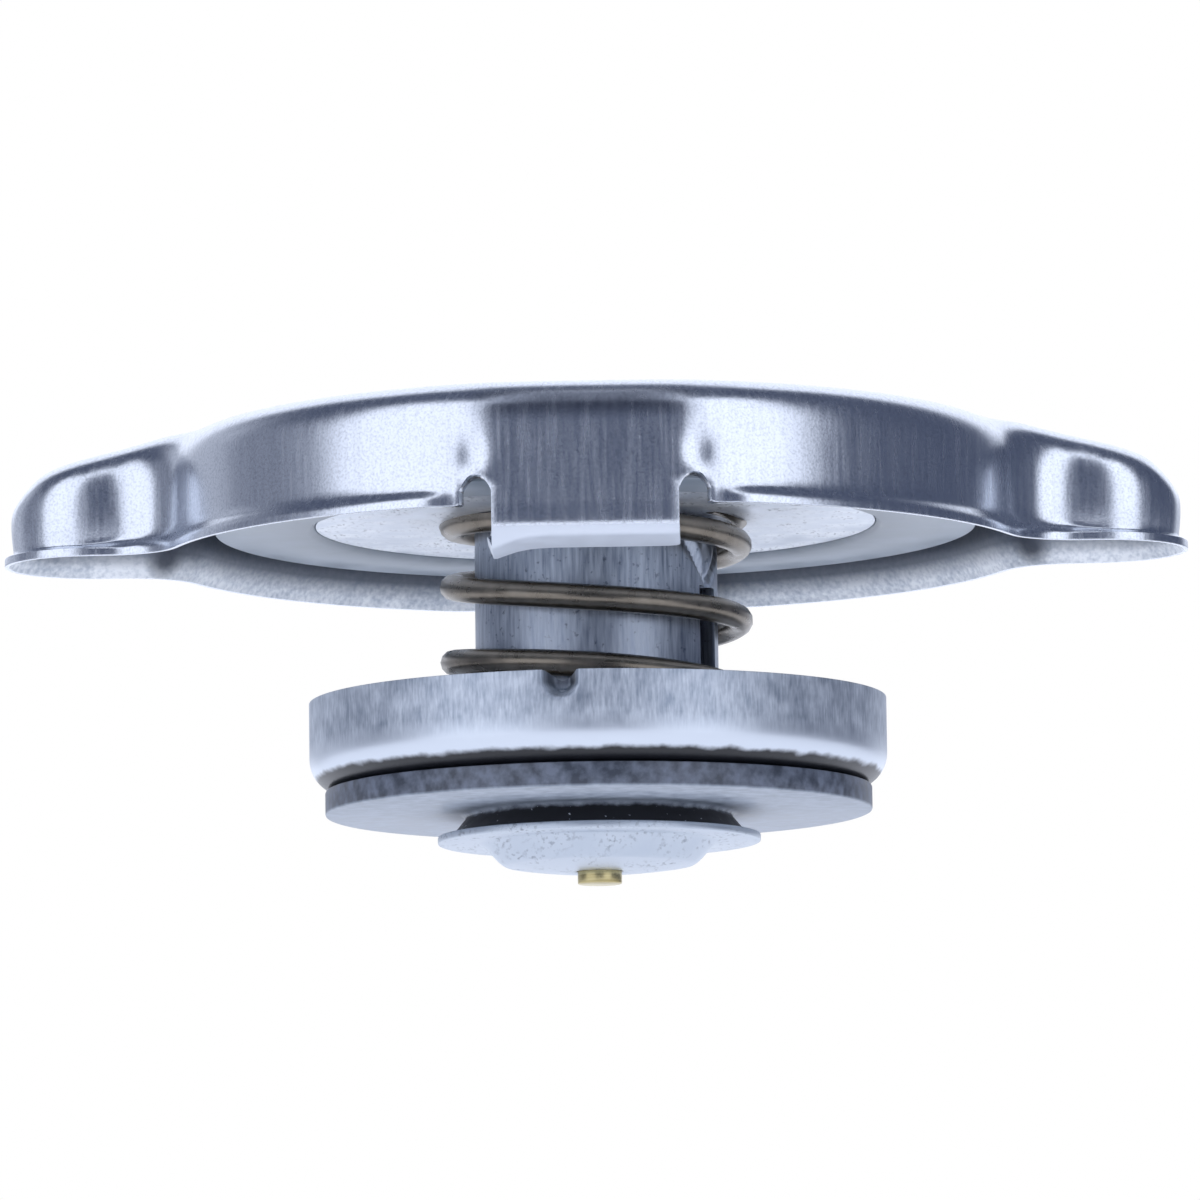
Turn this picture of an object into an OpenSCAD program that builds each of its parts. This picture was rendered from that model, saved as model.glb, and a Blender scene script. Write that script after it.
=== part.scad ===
// Radiator cap with a pressure valve and a vacuum valve, for a bayonet filler neck.
// Upright as fitted: the origin is on the axis, at the plane where the upper seal meets the neck's rim.
// The ears point along X and the bayonet tangs face -Y and +Y.

/* [Shell] */
// Length over both ears, tip to tip
ear_span = 80.6; // [74:0.1:90]
// Width of an ear
ear_w = 12.6; // [9:0.1:16]
// Radius of the hollow where an ear meets the skirt
ear_root_r = 5; // [3:0.1:8]
// Fall of an ear's top from the skirt to the start of its round end
ear_fall = 1.9; // [0.5:0.1:3]
// Extra fall over an ear's round end
ear_end_fall = 1.5; // [0.5:0.1:3]
// Outer radius between an ear's wall and its top
ear_shoulder_r = 3.8; // [2:0.1:4.5]
// Diameter of the skirt at its rim
rim_d = 59.5; // [56:0.1:64]
// Distance across the two flats that carry the tangs
flats_across = 58; // [55.5:0.1:59]
// Least width of each flat; a flat that is cut deeper into the skirt is wider
flat_w = 13.3; // [12.8:0.1:16]
// Thickness of the shell's sheet
sheet_t = 0.9; // [0.6:0.05:1.2]
// Height from the rim to the edge of the crown
skirt_h = 8.4; // [6.5:0.1:10]
// Outer radius between skirt and crown
shoulder_r = 2.6; // [1.6:0.1:3.5]
// How far the rim stands out from the skirt
rim_flare = 0.6; // [0.2:0.05:1]
// Height of the flared band at the rim
flare_h = 1; // [0.5:0.1:1]
// Rise of the crown from its edge to the well
crown_rise = 0.4; // [0:0.05:1]
// Diameter of the central well at the crown
well_d = 27; // [25:0.5:32]
// Diameter of the well's floor
well_floor_d = 19; // [17:0.5:21]
// Depth of the rim below the neck's seat
rim_drop = 2; // [1:0.1:3]

/* [Tangs] */
// Width of a bayonet tang
tang_w = 12.2; // [9:0.1:12.6]
// Depth of a tang's bend below the rim
tang_drop = 1.1; // [0.5:0.1:2]
// Length of a tang's lip, inwards from the bend
lip_reach = 3.6; // [2:0.1:4.5]
// Downward slope of the lip in degrees
lip_slope = 4; // [0:1:25]
// Length of the turned-down corner that leads the lip on to the neck's cam
lead_in_l = 1.9; // [1:0.1:3]
// Fall of that corner
lead_in_drop = 0.8; // [0.2:0.1:1.2]
// Width of the relief notch on each side of a tang
notch_w = 2.1; // [1.5:0.1:2.6]
// Height of the relief notch
notch_h = 2.1; // [2.1:0.1:3]

/* [Upper seal] */
// Outer diameter of the upper seal
upper_seal_d = 51.8; // [48:0.1:54]
// Thickness of the upper seal at its rim
upper_seal_t = 1.2; // [1:0.05:1.6]
// Thickness of the seal's web, clamped by the seal plate
seal_web_t = 0.35; // [0.25:0.05:0.5]
// Inner diameter of the seal's web
seal_web_d = 22; // [20:0.5:28]
// Diameter of the seal plate
seal_plate_d = 38.1; // [32:0.1:44]
// Thickness of the seal plate
seal_plate_t = 0.5; // [0.4:0.05:0.6]
// Diameter of the friction disc above the seal
friction_disc_d = 50; // [46:0.1:51]
// Thickness of the friction disc
friction_disc_t = 0.5; // [0.3:0.05:0.8]

/* [Rivet] */
// Diameter of the rivet's shank
rivet_d = 6; // [4:0.1:7]
// Diameter of the rivet's upper head
rivet_head_d = 11; // [9:0.1:13]
// Height of the rivet's upper head
rivet_head_h = 1.6; // [1:0.1:2]
// Diameter of the clinched end inside the stem
clinch_d = 10.4; // [8.5:0.1:12]
// Height of the clinched end
clinch_h = 1.3; // [0.8:0.1:1.8]
// Diameter of the washer under the rivet's head
washer_d = 14; // [13.2:0.1:16]
// Thickness of that washer
washer_t = 0.6; // [0.4:0.05:1]

/* [Stem] */
// Outer diameter of the stem
stem_d = 16.5; // [15.6:0.1:17]
// Thickness of the stem's wall
stem_t = 0.8; // [0.5:0.05:0.9]
// Width of the two slots that part the stem's legs
slot_w = 2.5; // [1.5:0.1:4]
// Distance from the neck's seat to the top of the slots
slot_top = 4.4; // [2.5:0.1:8]
// Direction of the first slot, in degrees from -Y towards +X
slot_angle = 67.8; // [0:0.1:90]
// Diameter of the foot that holds the spring plate
foot_d = 19.6; // [18.6:0.1:22]
// Thickness of the foot
foot_t = 0.7; // [0.5:0.05:0.8]

/* [Pressure spring] */
// Mean diameter of the coil
spring_mean_d = 19.55; // [19:0.05:22]
// Diameter of the spring wire
spring_wire_d = 1.75; // [1:0.05:1.8]
// Active turns between the ramps
spring_active_turns = 1.865; // [1.2:0.005:2]
// Direction of the wire's upper end, in turns from -Y towards +X
spring_start = 0.15; // [0:0.01:1]

/* [Pressure valve] */
// Distance from the neck's seat to the lower seal's upper face
reach = 17.75; // [17:0.05:22]
// Outer diameter of the valve cup
cup_d = 39.2; // [36:0.1:42]
// Height of the valve cup
cup_h = 6; // [5.5:0.1:7]
// Thickness of the cup's sheet
cup_t = 0.8; // [0.5:0.05:0.9]
// Outer radius of the cup's lower corner
cup_corner_r = 2.2; // [1.4:0.1:2.4]
// Depth of the spring plate below the cup's rim
plate_depth = 1.15; // [0.8:0.05:1.4]
// Thickness of the spring plate
plate_t = 0.7; // [0.5:0.05:0.8]
// Radius of the three stakes in the cup's rim
stake_r = 1.3; // [0.9:0.05:1.5]
// How far a stake's centre lies outside the cup's wall
stake_out = 0.2; // [0:0.05:0.4]
// How far a stake's centre lies below the cup's rim
stake_down = 0.1; // [0:0.05:0.3]
// Direction of the front stake, in degrees from -Y towards +X
stake_angle = -6; // [-20:1:20]
// Outer diameter of the cup's neck through the seal
neck_d = 14; // [11:0.1:14.4]
// Thickness of the neck's wall
neck_t = 0.7; // [0.4:0.05:0.8]
// Diameter of the neck's clinched flare
neck_flare_d = 15; // [14.6:0.1:16]
// Outer diameter of the pressure seal
seal_d = 37.1; // [34:0.1:40]
// Thickness of the pressure seal
seal_t = 1.65; // [1.4:0.05:2.4]
// Thickness of the seal's inner web
web_t = 1.15; // [0.8:0.05:1.2]
// Inner diameter of the lip that the vacuum disc closes on
lip_d = 17.8; // [17.4:0.1:19]
// Thickness of that lip
lip_t = 1.1; // [0.7:0.05:1.3]
// Height of that lip below the seal
lip_h = 1.45; // [1.3:0.05:2]
// Radius on the seal's outer edges
seal_edge_r = 0.15; // [0.1:0.05:0.4]
// Diameter of the bridge that guides the pin
bridge_d = 13.8; // [13:0.1:14]
// Thickness of the bridge
bridge_t = 0.6; // [0.4:0.05:0.8]
// Diameter of the bridge's flow holes
flow_hole_d = 2.4; // [1:0.1:2.6]

/* [Vacuum valve] */
// Diameter of the vacuum disc
disc_d = 21.9; // [21:0.1:26]
// Thickness of the disc's sheet
disc_t = 0.5; // [0.35:0.05:0.6]
// Diameter of the disc's bowl
bowl_d = 15.9; // [13:0.1:16.5]
// Depth of the bowl
bowl_h = 1.65; // [1:0.05:3]
// Width of the bowl's sloping side
bowl_side = 1.25; // [0.8:0.05:2]
// Diameter of the pin
pin_d = 2.2; // [1.6:0.1:2.4]
// Diameter of the pin's lower head
pin_head_d = 3; // [2.8:0.1:4]
// Height of the pin's lower head
pin_head_h = 1.15; // [0.4:0.05:1.5]
// Height of the vacuum spring when the valve is shut
vacuum_spring_l = 6.75; // [6:0.05:7]
// Diameter of the vacuum spring's wire
vacuum_wire_d = 0.45; // [0.3:0.05:0.6]
// Mean diameter of the vacuum spring
vacuum_spring_d = 6.4; // [6:0.1:7]
// Active turns of the vacuum spring between its ramps
vacuum_active_turns = 3; // [2:0.5:4]
// Diameter of the retainer on the pin's upper end
retainer_d = 8; // [7.6:0.1:9]
// Thickness of the retainer
retainer_t = 0.6; // [0.4:0.05:0.8]

/* [Clearances] */
// Radial gap round the rivet's shank
rivet_gap = 0.05; // [0.02:0.01:0.08]
// Axial gap above and below the shell's well floor
swivel_gap = 0.1; // [0.05:0.01:0.15]
// Radial gap round the pin where it slides
pin_gap = 0.05; // [0.02:0.01:0.08]
// Radial gap between pieces that are pushed into one another
push_gap = 0.05; // [0.02:0.01:0.08]
// Radial gap between the stem and the plate that slides on it
stem_gap = 0.25; // [0.1:0.01:0.4]
// Radial gap between the neck's flare and the lip round it
flare_gap = 0.4; // [0.2:0.05:0.6]
// Gap between faces that part when a valve opens
seat_gap = 0.05; // [0.02:0.01:0.1]

/* [Hidden] */
$fn = 96;

// Heights of the parts that hang on the rivet
rim_z = -rim_drop;
disc_z = upper_seal_t;
floor_z = disc_z + friction_disc_t + swivel_gap;
washer_z = floor_z + sheet_t + swivel_gap;
head_z = washer_z + washer_t;
plate_top_z = upper_seal_t - seal_web_t;
stem_z = plate_top_z - seal_plate_t;
clinch_z = stem_z - stem_t;

// Heights of the pressure valve
seal_z = -reach;
cup_rim_z = seal_z + cup_h;
cup_floor_z = seal_z + cup_t;
spring_plate_z = cup_rim_z - plate_depth;
foot_z = spring_plate_z - plate_t - seat_gap;
web_z = seal_z - web_t;
flare_z = web_z - neck_t;
bridge_z = cup_floor_z + bridge_t;

// Heights of the vacuum valve
lip_z = seal_z - seal_t - lip_h;
disc_top_z = lip_z - seat_gap;
flange_z = disc_top_z - disc_t;
hub_z = flange_z - bowl_h;
pin_z = hub_z - pin_head_h;
retainer_z = bridge_z + vacuum_spring_l;
peen_h = retainer_t;

// Radii that several pieces share
rim_r = rim_d / 2;
flat_r = flats_across / 2;
rivet_bore_r = rivet_d / 2 + rivet_gap;
seal_plate_r = seal_plate_d / 2;
stem_r = stem_d / 2;
cup_r = cup_d / 2;
cup_in_r = cup_r - cup_t;
neck_r = neck_d / 2;
pin_bore_r = pin_d / 2 + pin_gap;
pin_fit_r = pin_d / 2 + push_gap;

// Plan of the shell: the centres of an ear's round end and of the hollow at its root, which touches the rim.
// The hollow of a long ear touches its straight side, and that of a short ear touches its round end.
ear_r = ear_w / 2;
tip_x = ear_span / 2 - ear_r;
hollow_to_axis = rim_r + ear_root_r;
hollow_to_tip = ear_r + ear_root_r;
side_root_x = sqrt(pow(hollow_to_axis, 2) - pow(hollow_to_tip, 2));
long_ear = side_root_x <= tip_x;
round_root_x = (pow(hollow_to_axis, 2) - pow(hollow_to_tip, 2) + tip_x * tip_x) / (2 * tip_x);
root_x = long_ear ? side_root_x : round_root_x;
root_y = sqrt(pow(hollow_to_axis, 2) - root_x * root_x);
root_a = atan2(root_y, root_x);
tip_a = long_ear ? 90 : atan2(root_y, root_x - tip_x);
tip_steps = 5;
root_steps = 5;
main_steps = 8;
flare_steps = 3;
shoulder_steps = 5;
crown_steps = 3;
well_steps = 5;

// How far a cut runs out past the face that it goes through
cut_over = 1;

// Facets of the two springs: rings in a turn, and corners round the wire
spring_steps = 26;
spring_sides = 10;
vacuum_steps = 16;
vacuum_sides = 6;

// Spring ends: the wire runs out past the ground face and leaves a thin tail
closed_turns = 0.6;
ramp_turns = 0.55;
closed_pitch_ratio = 0.715;
tail_t = 0.125;

function smooth(t) = t * t * (3 - 2 * t);
function clamp(t) = min(1, max(0, t));
function mix(a, b, t) = a + (b - a) * t;
function arc(x, y, r, a0, a1, n) = [for (i = [0 : n])
    let (a = mix(a0, a1, i / n))
    [x + r * cos(a), y + r * sin(a)]];

// Half the width of a flat, drawn d inside the rim: to where it leaves the round skirt, or its least width
function flat_half(d) = max(flat_w / 2, sqrt(max(0, pow(rim_r - d, 2) - pow(flat_r - d, 2))));

// A quarter of the shell's plan from an ear's tip to the middle of a flat, drawn d inside the rim and d_ear
// inside the ear; the third number of each point is 1 on the ear and 0 on the skirt
function plan_quarter(d, d_ear) =
    let (flat_a = acos(flat_half(d) / (rim_r - d)))
    concat(
        [for (i = [0 : tip_steps])
            let (a = tip_a * i / tip_steps, r = ear_r - d_ear)
            [tip_x + r * cos(a), r * sin(a), 1]],
        [for (i = [0 : root_steps])
            let (t = i / root_steps, a = 180 + mix(tip_a, root_a, t))
            let (r = ear_root_r + mix(d_ear, d, smooth(t)))
            [root_x + r * cos(a), root_y + r * sin(a), 1 - smooth(t)]],
        [for (i = [1 : main_steps - 1])
            let (a = mix(root_a, flat_a, i / main_steps), r = rim_r - d)
            [r * cos(a), r * sin(a), 0]],
        [[flat_half(d), flat_r - d, 0], [0, flat_r - d, 0]]
    );

// The whole plan, from the quarter mirrored and turned
function plan(d, d_ear) =
    let (q = plan_quarter(d, d_ear), n = len(q) - 1)
    let (half = concat(q, [for (i = [n - 1 : -1 : 1]) [-q[i][0], q[i][1], q[i][2]]]))
    concat(half, [for (p = half) [-p[0], -p[1], p[2]]]);
function rho(p) = norm([p[0], p[1]]);

// Share of the full height that the sheet has at distance r from the axis: the ears fall towards their tips
fall_start = rim_r - rim_flare;
fall_end = ear_span / 2 - shoulder_r - rim_flare;
function fall(r) =
    1 - (ear_fall * max(0, (r - fall_start) / (fall_end - fall_start))
    + ear_end_fall * pow(max(0, (r - fall_end) / (ear_span / 2 - fall_end)), 2)) / skirt_h;

// One ring of the skirt at height h, and h_ear on the ears, with the sheet's thickness under it taken off
function skirt_ring(d, d_ear, h, h_ear, under) = [for (p = plan(d, d_ear))
    [p[0], p[1], rim_z + mix(h, h_ear, p[2]) * fall(rho(p)) - under]];

// How far inside the rim a shoulder of radius r lies at angle a, and how high
function shoulder_in(r, inset, a) = rim_flare + r - (r - inset) * cos(a);
function shoulder_up(r, a) = skirt_h - r + r * sin(a);

// Rings of the skirt and shoulder; inset is 0 on the outer face and the sheet's thickness on the inner one
function skirt_rings(inset) = concat(
    [for (i = [0 : flare_steps])
        let (d = inset + rim_flare * smooth(i / flare_steps), h = flare_h * i / flare_steps)
        skirt_ring(d, d, h, h, 0)],
    [for (i = [0 : shoulder_steps])
        let (a = 90 * i / shoulder_steps)
        skirt_ring(
            shoulder_in(shoulder_r, inset, a), shoulder_in(ear_shoulder_r, inset, a),
            shoulder_up(shoulder_r, a), shoulder_up(ear_shoulder_r, a), inset * sin(a))]
);

// Rings of the crown, which draw in from the shoulder's plan to a circle, then of the well and the bore
crown_inset = rim_flare + shoulder_r;
crown_plan = plan(crown_inset, rim_flare + ear_shoulder_r);
crown_r = (well_d / 2 + rim_r - crown_inset) / 2;
crown_z = rim_z + skirt_h + crown_rise;
well_floor_top_z = floor_z + sheet_t;
function crown_ring(t, under) = [for (p = crown_plan)
    let (r = mix(rho(p), crown_r, t), k = r / rho(p))
    [p[0] * k, p[1] * k, rim_z + skirt_h * fall(r) + crown_rise * t - under]];
function round_ring(r, z) = [for (p = crown_plan) [p[0] * r / rho(p), p[1] * r / rho(p), z]];
function crown_rings(under) = concat(
    [for (i = [1 : crown_steps]) crown_ring(smooth(i / crown_steps), under)],
    [for (i = [0 : well_steps])
        let (t = i / well_steps)
        round_ring(mix(well_d, well_floor_d, t) / 2, mix(crown_z, well_floor_top_z, smooth(t)) - under)],
    [round_ring(rivet_d / 4, well_floor_top_z - under)]
);

function reversed(list) = [for (i = [len(list) - 1 : -1 : 0]) list[i]];
function flatten(lists) = [for (l = lists) each l];

// A closed skin through a list of rings with equal counts; a loop of rings has no end caps
module skin(rings, closed) {
    n = len(rings[0]);
    m = len(rings);
    last = closed ? m - 1 : m - 2;
    sides = [for (i = [0 : last], j = [0 : n - 1], k = [0, 1])
        let (a = i * n + j, b = i * n + (j + 1) % n)
        let (c = ((i + 1) % m) * n + j, e = ((i + 1) % m) * n + (j + 1) % n)
        k == 0 ? [a, c, e] : [a, e, b]];
    caps = closed ? [] : [[for (j = [0 : n - 1]) j], [for (j = [n - 1 : -1 : 0]) (m - 1) * n + j]];
    polyhedron(flatten(rings), concat(sides, caps), 4);
}

module pressed_sheet() {
    outer = concat(skirt_rings(0), crown_rings(0));
    inner = concat(skirt_rings(sheet_t), crown_rings(sheet_t));
    skin(concat(outer, reversed(inner)), true);
}

// A tang's section, with distance from the axis across and height up; it laps the skirt's flat by a hair
seam = 0.02;
tang_out = flat_r - rim_flare + seam;
tang_t = sheet_t + 2 * seam;
tang_in = tang_out - tang_t;
bend_z = rim_z - tang_drop;
tang_lap = 0.6;
tang_top_z = rim_z + notch_h - notch_w / 2 + tang_lap;
lip_end = [tang_in - lip_reach * cos(lip_slope), bend_z - lip_reach * sin(lip_slope)];
lip_under = [tang_t * sin(lip_slope), -tang_t * cos(lip_slope)];
tang_wall = concat(
    [[tang_out, tang_top_z], [tang_in, tang_top_z], [tang_in, bend_z]],
    arc(tang_in, bend_z, tang_t, lip_slope - 90, 0, 6)
);
tang_lip = [[tang_in, bend_z], lip_end, lip_end + lip_under, [tang_in, bend_z] + lip_under];

// Extrudes a section along X from x0 to x1
module along_x(section, x0, x1) {
    translate([x0, 0, 0]) rotate([90, 0, 90]) linear_extrude(x1 - x0) polygon(section);
}

module tang() {
    lead_x = tang_w / 2 - lead_in_l;
    along_x(tang_wall, -tang_w / 2, tang_w / 2);
    along_x(tang_lip, -tang_w / 2, lead_x);
    translate([lead_x, 0, bend_z])
        rotate([0, atan(lead_in_drop / lead_in_l), 0])
            translate([0, 0, -bend_z]) along_x(tang_lip, 0, lead_in_l);
}

// What is cut from the skirt round a tang: a window to the rim with two round-topped notches
module tang_window() {
    near_y = min(flat_r, rim_r) - 2 * (sheet_t + rim_flare);
    through = max(flat_r, rim_r) + 2 * sheet_t - near_y;
    half_w = tang_w / 2 + notch_w;
    round_z = rim_z + notch_h - notch_w / 2;
    translate([-half_w, near_y, rim_z - cut_over]) cube([2 * half_w, through, round_z - rim_z + cut_over]);
    for (side = [-1, 1])
        translate([side * (tang_w + notch_w) / 2, near_y, round_z])
            rotate([-90, 0, 0]) cylinder(d = notch_w, h = through);
}

module shell() {
    color("lightsteelblue") {
        difference() {
            pressed_sheet();
            translate([0, 0, floor_z - cut_over]) cylinder(r = rivet_bore_r, h = sheet_t + 2 * cut_over);
            for (a = [0, 180]) rotate([0, 0, a]) tang_window();
        }
        for (a = [0, 180]) rotate([0, 0, a]) tang();
    }
}

module crown_rivet() {
    head_r = rivet_head_d / 2;
    dome_r = (head_r * head_r + rivet_head_h * rivet_head_h) / (2 * rivet_head_h);
    dome_a = asin(head_r / dome_r);
    color("silver") {
        translate([0, 0, clinch_z]) cylinder(d = rivet_d, h = head_z - clinch_z);
        translate([0, 0, clinch_z - clinch_h]) cylinder(d1 = rivet_d, d2 = clinch_d, h = clinch_h);
        rotate_extrude() polygon(concat(
            [[0, head_z]],
            arc(0, head_z + rivet_head_h - dome_r, dome_r, 90 - dome_a, 90, 10)
        ));
    }
}

// A flat ring between two heights
module ring(outer_r, inner_r, z0, z1) {
    translate([0, 0, z0]) rotate_extrude() translate([inner_r, 0]) square([outer_r - inner_r, z1 - z0]);
}

module crown_washer() {
    color("gainsboro") ring(washer_d / 2, rivet_bore_r, washer_z, head_z);
}

module friction_disc() {
    color("darkgray") ring(friction_disc_d / 2, rivet_bore_r, disc_z, disc_z + friction_disc_t);
}

module upper_seal() {
    color("slategray") {
        ring(upper_seal_d / 2, seal_plate_r + push_gap, 0, upper_seal_t);
        ring(seal_plate_r + 2 * push_gap, seal_web_d / 2, plate_top_z, upper_seal_t);
    }
}

module seal_plate() {
    color("gainsboro") ring(seal_plate_r, rivet_bore_r, stem_z, plate_top_z);
}

module stem() {
    foot_low_z = foot_z - foot_t;
    bend_r = foot_t;
    color("lightslategray") difference() {
        rotate_extrude() polygon(concat(
            [[rivet_bore_r, clinch_z], [rivet_bore_r, stem_z]],
            arc(stem_r - stem_t, stem_z - stem_t, stem_t, 90, 0, 6),
            [[stem_r, foot_z], [foot_d / 2, foot_z], [foot_d / 2, foot_low_z]],
            arc(stem_r - stem_t + bend_r, foot_low_z + bend_r, bend_r, 270, 180, 6),
            [[stem_r - stem_t, clinch_z]]
        ));
        rotate([0, 0, slot_angle - 90])
            translate([-foot_d, -slot_w / 2, foot_low_z - cut_over])
                cube([2 * foot_d, slot_w, -slot_top - foot_low_z + cut_over]);
    }
}

// Drop of a coil's centre line t turns from its end, with a ramp from the closed pitch to the open one
function ramp_area(u) = u * u * u - u * u * u * u / 2;
function coil_drop(t, p_closed, p_open) =
    let (past = t - closed_turns)
    let (ramped = ramp_turns * ramp_area(clamp(past / ramp_turns)) + max(0, past - ramp_turns))
    p_closed * t + (p_open - p_closed) * ramped;

// A left-hand compression spring between two heights, with closed ends ground flat
module coil(mean_r, wire_r, z_top, z_bottom, active, start, steps, sides) {
    p_closed = 2 * wire_r * closed_pitch_ratio;
    run_out = wire_r - tail_t * wire_r;
    drop = z_top - z_bottom + 2 * run_out;
    p_open = (drop - (2 * closed_turns + ramp_turns) * p_closed) / (ramp_turns + active);
    turns = 2 * closed_turns + 2 * ramp_turns + active;
    count = ceil(turns * steps);
    rings = [for (i = [0 : count])
        let (t = turns * i / count, a = 360 * (start + t))
        let (upper = t < turns / 2, end_drop = coil_drop(upper ? t : turns - t, p_closed, p_open))
        let (fallen = upper ? end_drop : drop - end_drop)
        [for (j = [0 : sides - 1])
            let (b = 360 * j / sides, r = mean_r + wire_r * cos(b))
            [r * sin(a), -r * cos(a), z_top + run_out - fallen + wire_r * sin(b)]]];
    intersection() {
        skin(rings, false);
        translate([0, 0, z_bottom]) cylinder(r = mean_r + 2 * wire_r, h = z_top - z_bottom);
    }
}

module pressure_spring() {
    color("rosybrown") coil(
        spring_mean_d / 2, spring_wire_d / 2, stem_z, spring_plate_z + seat_gap,
        spring_active_turns, spring_start, spring_steps, spring_sides);
}

module valve_cup() {
    corner_in_r = cup_corner_r - cup_t;
    corner_z = seal_z + cup_corner_r;
    flare_r = neck_flare_d / 2;
    neck_in_r = neck_r - neck_t;
    stake_wall = 0.8 * cup_t;
    color("lightsteelblue") {
        difference() {
            rotate_extrude() polygon(concat(
                [[cup_in_r, cup_rim_z], [cup_r, cup_rim_z]],
                arc(cup_r - cup_corner_r, corner_z, cup_corner_r, 0, -90, 8),
                [[neck_r, seal_z], [neck_r, web_z], [flare_r, web_z], [flare_r, flare_z]],
                [[neck_in_r, flare_z], [neck_in_r, cup_floor_z]],
                arc(cup_r - cup_corner_r, corner_z, corner_in_r, -90, 0, 8)
            ));
            stakes() sphere(r = stake_r);
        }
        difference() {
            intersection() {
                stakes() sphere(r = stake_r + stake_wall);
                translate([0, 0, spring_plate_z + push_gap])
                    cylinder(r = cup_in_r + cup_t / 2, h = plate_depth - push_gap);
            }
            stakes() sphere(r = stake_r);
        }
    }
}

// Places its child at each of the three stakes, just outside the cup's rim
module stakes() {
    for (k = [0 : 2])
        rotate([0, 0, stake_angle - 90 + 120 * k])
            translate([cup_r + stake_out, 0, cup_rim_z - stake_down]) children();
}

module spring_plate() {
    plate_r = cup_in_r - push_gap;
    bend_r = 1.5 * plate_t;
    skirt_z = seal_z + cup_corner_r - push_gap;
    color("silver") rotate_extrude() polygon(concat(
        [[stem_r + stem_gap, spring_plate_z - plate_t], [stem_r + stem_gap, spring_plate_z]],
        arc(plate_r - bend_r, spring_plate_z - bend_r, bend_r, 90, 0, 6),
        [[plate_r, skirt_z], [plate_r - plate_t, skirt_z]],
        arc(plate_r - bend_r, spring_plate_z - bend_r, bend_r - plate_t, 0, 90, 6)
    ));
}

module pressure_seal() {
    low_z = seal_z - seal_t;
    lip_r = neck_flare_d / 2 + flare_gap;
    edge_x = seal_d / 2 - seal_edge_r;
    tip_r = lip_d / 2;
    color("dimgray") rotate_extrude() polygon(concat(
        [[neck_r + push_gap, web_z], [neck_r + push_gap, seal_z]],
        arc(edge_x, seal_z - seal_edge_r, seal_edge_r, 90, 0, 3),
        arc(edge_x, low_z + seal_edge_r, seal_edge_r, 0, -90, 3),
        [[lip_r + lip_t, low_z], [tip_r + lip_t, lip_z], [tip_r, lip_z], [lip_r, low_z], [lip_r, web_z]]
    ));
}

module vacuum_bridge() {
    flow_r = (pin_bore_r + neck_r - neck_t) / 2;
    color("silver") difference() {
        ring(bridge_d / 2, pin_bore_r, cup_floor_z, bridge_z);
        for (k = [0 : 3])
            rotate([0, 0, 90 * k])
                translate([flow_r, 0, cup_floor_z - cut_over])
                    cylinder(d = flow_hole_d, h = bridge_t + 2 * cut_over);
    }
}

module vacuum_spring() {
    color("silver") coil(
        vacuum_spring_d / 2, vacuum_wire_d / 2, retainer_z, bridge_z,
        vacuum_active_turns, 0, vacuum_steps, vacuum_sides);
}

module vacuum_disc() {
    bowl_r = bowl_d / 2;
    steps = 8;
    side = [for (i = [0 : steps])
        let (t = i / steps)
        [bowl_r - bowl_side * (1 - t), mix(hub_z, flange_z, smooth(t))]];
    under = concat([[pin_fit_r, hub_z]], side, [[disc_d / 2, flange_z]]);
    color("gainsboro") rotate_extrude() polygon(concat(under, [for (p = reversed(under)) p + [0, disc_t]]));
}

module vacuum_pin() {
    peen_z = retainer_z + retainer_t;
    color("goldenrod") {
        translate([0, 0, pin_z]) cylinder(d = pin_head_d, h = pin_head_h);
        translate([0, 0, pin_z]) cylinder(d = pin_d, h = peen_z - pin_z);
        translate([0, 0, peen_z]) cylinder(d1 = pin_head_d, d2 = pin_d, h = peen_h);
    }
}

module vacuum_retainer() {
    color("silver") ring(retainer_d / 2, pin_fit_r, retainer_z, retainer_z + retainer_t);
}

shell();
crown_rivet();
crown_washer();
friction_disc();
upper_seal();
seal_plate();
stem();
pressure_spring();
valve_cup();
spring_plate();
pressure_seal();
vacuum_bridge();
vacuum_spring();
vacuum_disc();
vacuum_pin();
vacuum_retainer();
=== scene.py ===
# %% [markdown]
# # A radiator cap, dressed on its CAD frame
# The cap is pressed and drawn from thin steel: a two-eared shell, a stem with a coil spring, and a valve at
# the bottom. The CAD model fixes where everything is. This lesson gives each visible piece its soft press
# radii, seams and dents, and each surface its finish.

# %% Load the frame
from math import acos, asin, atan2, cos, degrees, exp, hypot, pi, radians, sin, sqrt, tau

import bpy
from mathutils import Matrix, Vector


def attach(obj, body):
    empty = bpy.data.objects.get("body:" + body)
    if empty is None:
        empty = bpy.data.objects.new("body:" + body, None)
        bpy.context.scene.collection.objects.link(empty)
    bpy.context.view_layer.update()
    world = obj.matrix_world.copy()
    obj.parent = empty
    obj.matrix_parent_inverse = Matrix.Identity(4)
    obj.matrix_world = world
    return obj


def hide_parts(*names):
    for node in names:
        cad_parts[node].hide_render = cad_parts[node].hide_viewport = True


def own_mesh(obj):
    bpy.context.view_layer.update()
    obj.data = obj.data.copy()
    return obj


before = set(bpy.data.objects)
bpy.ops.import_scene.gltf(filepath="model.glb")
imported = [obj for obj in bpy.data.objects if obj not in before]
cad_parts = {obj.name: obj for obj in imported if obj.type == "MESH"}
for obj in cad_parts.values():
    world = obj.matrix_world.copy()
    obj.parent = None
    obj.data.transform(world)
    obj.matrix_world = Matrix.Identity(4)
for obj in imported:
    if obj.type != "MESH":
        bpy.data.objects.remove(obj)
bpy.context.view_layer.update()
MM = 0.001
print("CAD nodes:", ", ".join(sorted(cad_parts)))

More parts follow.
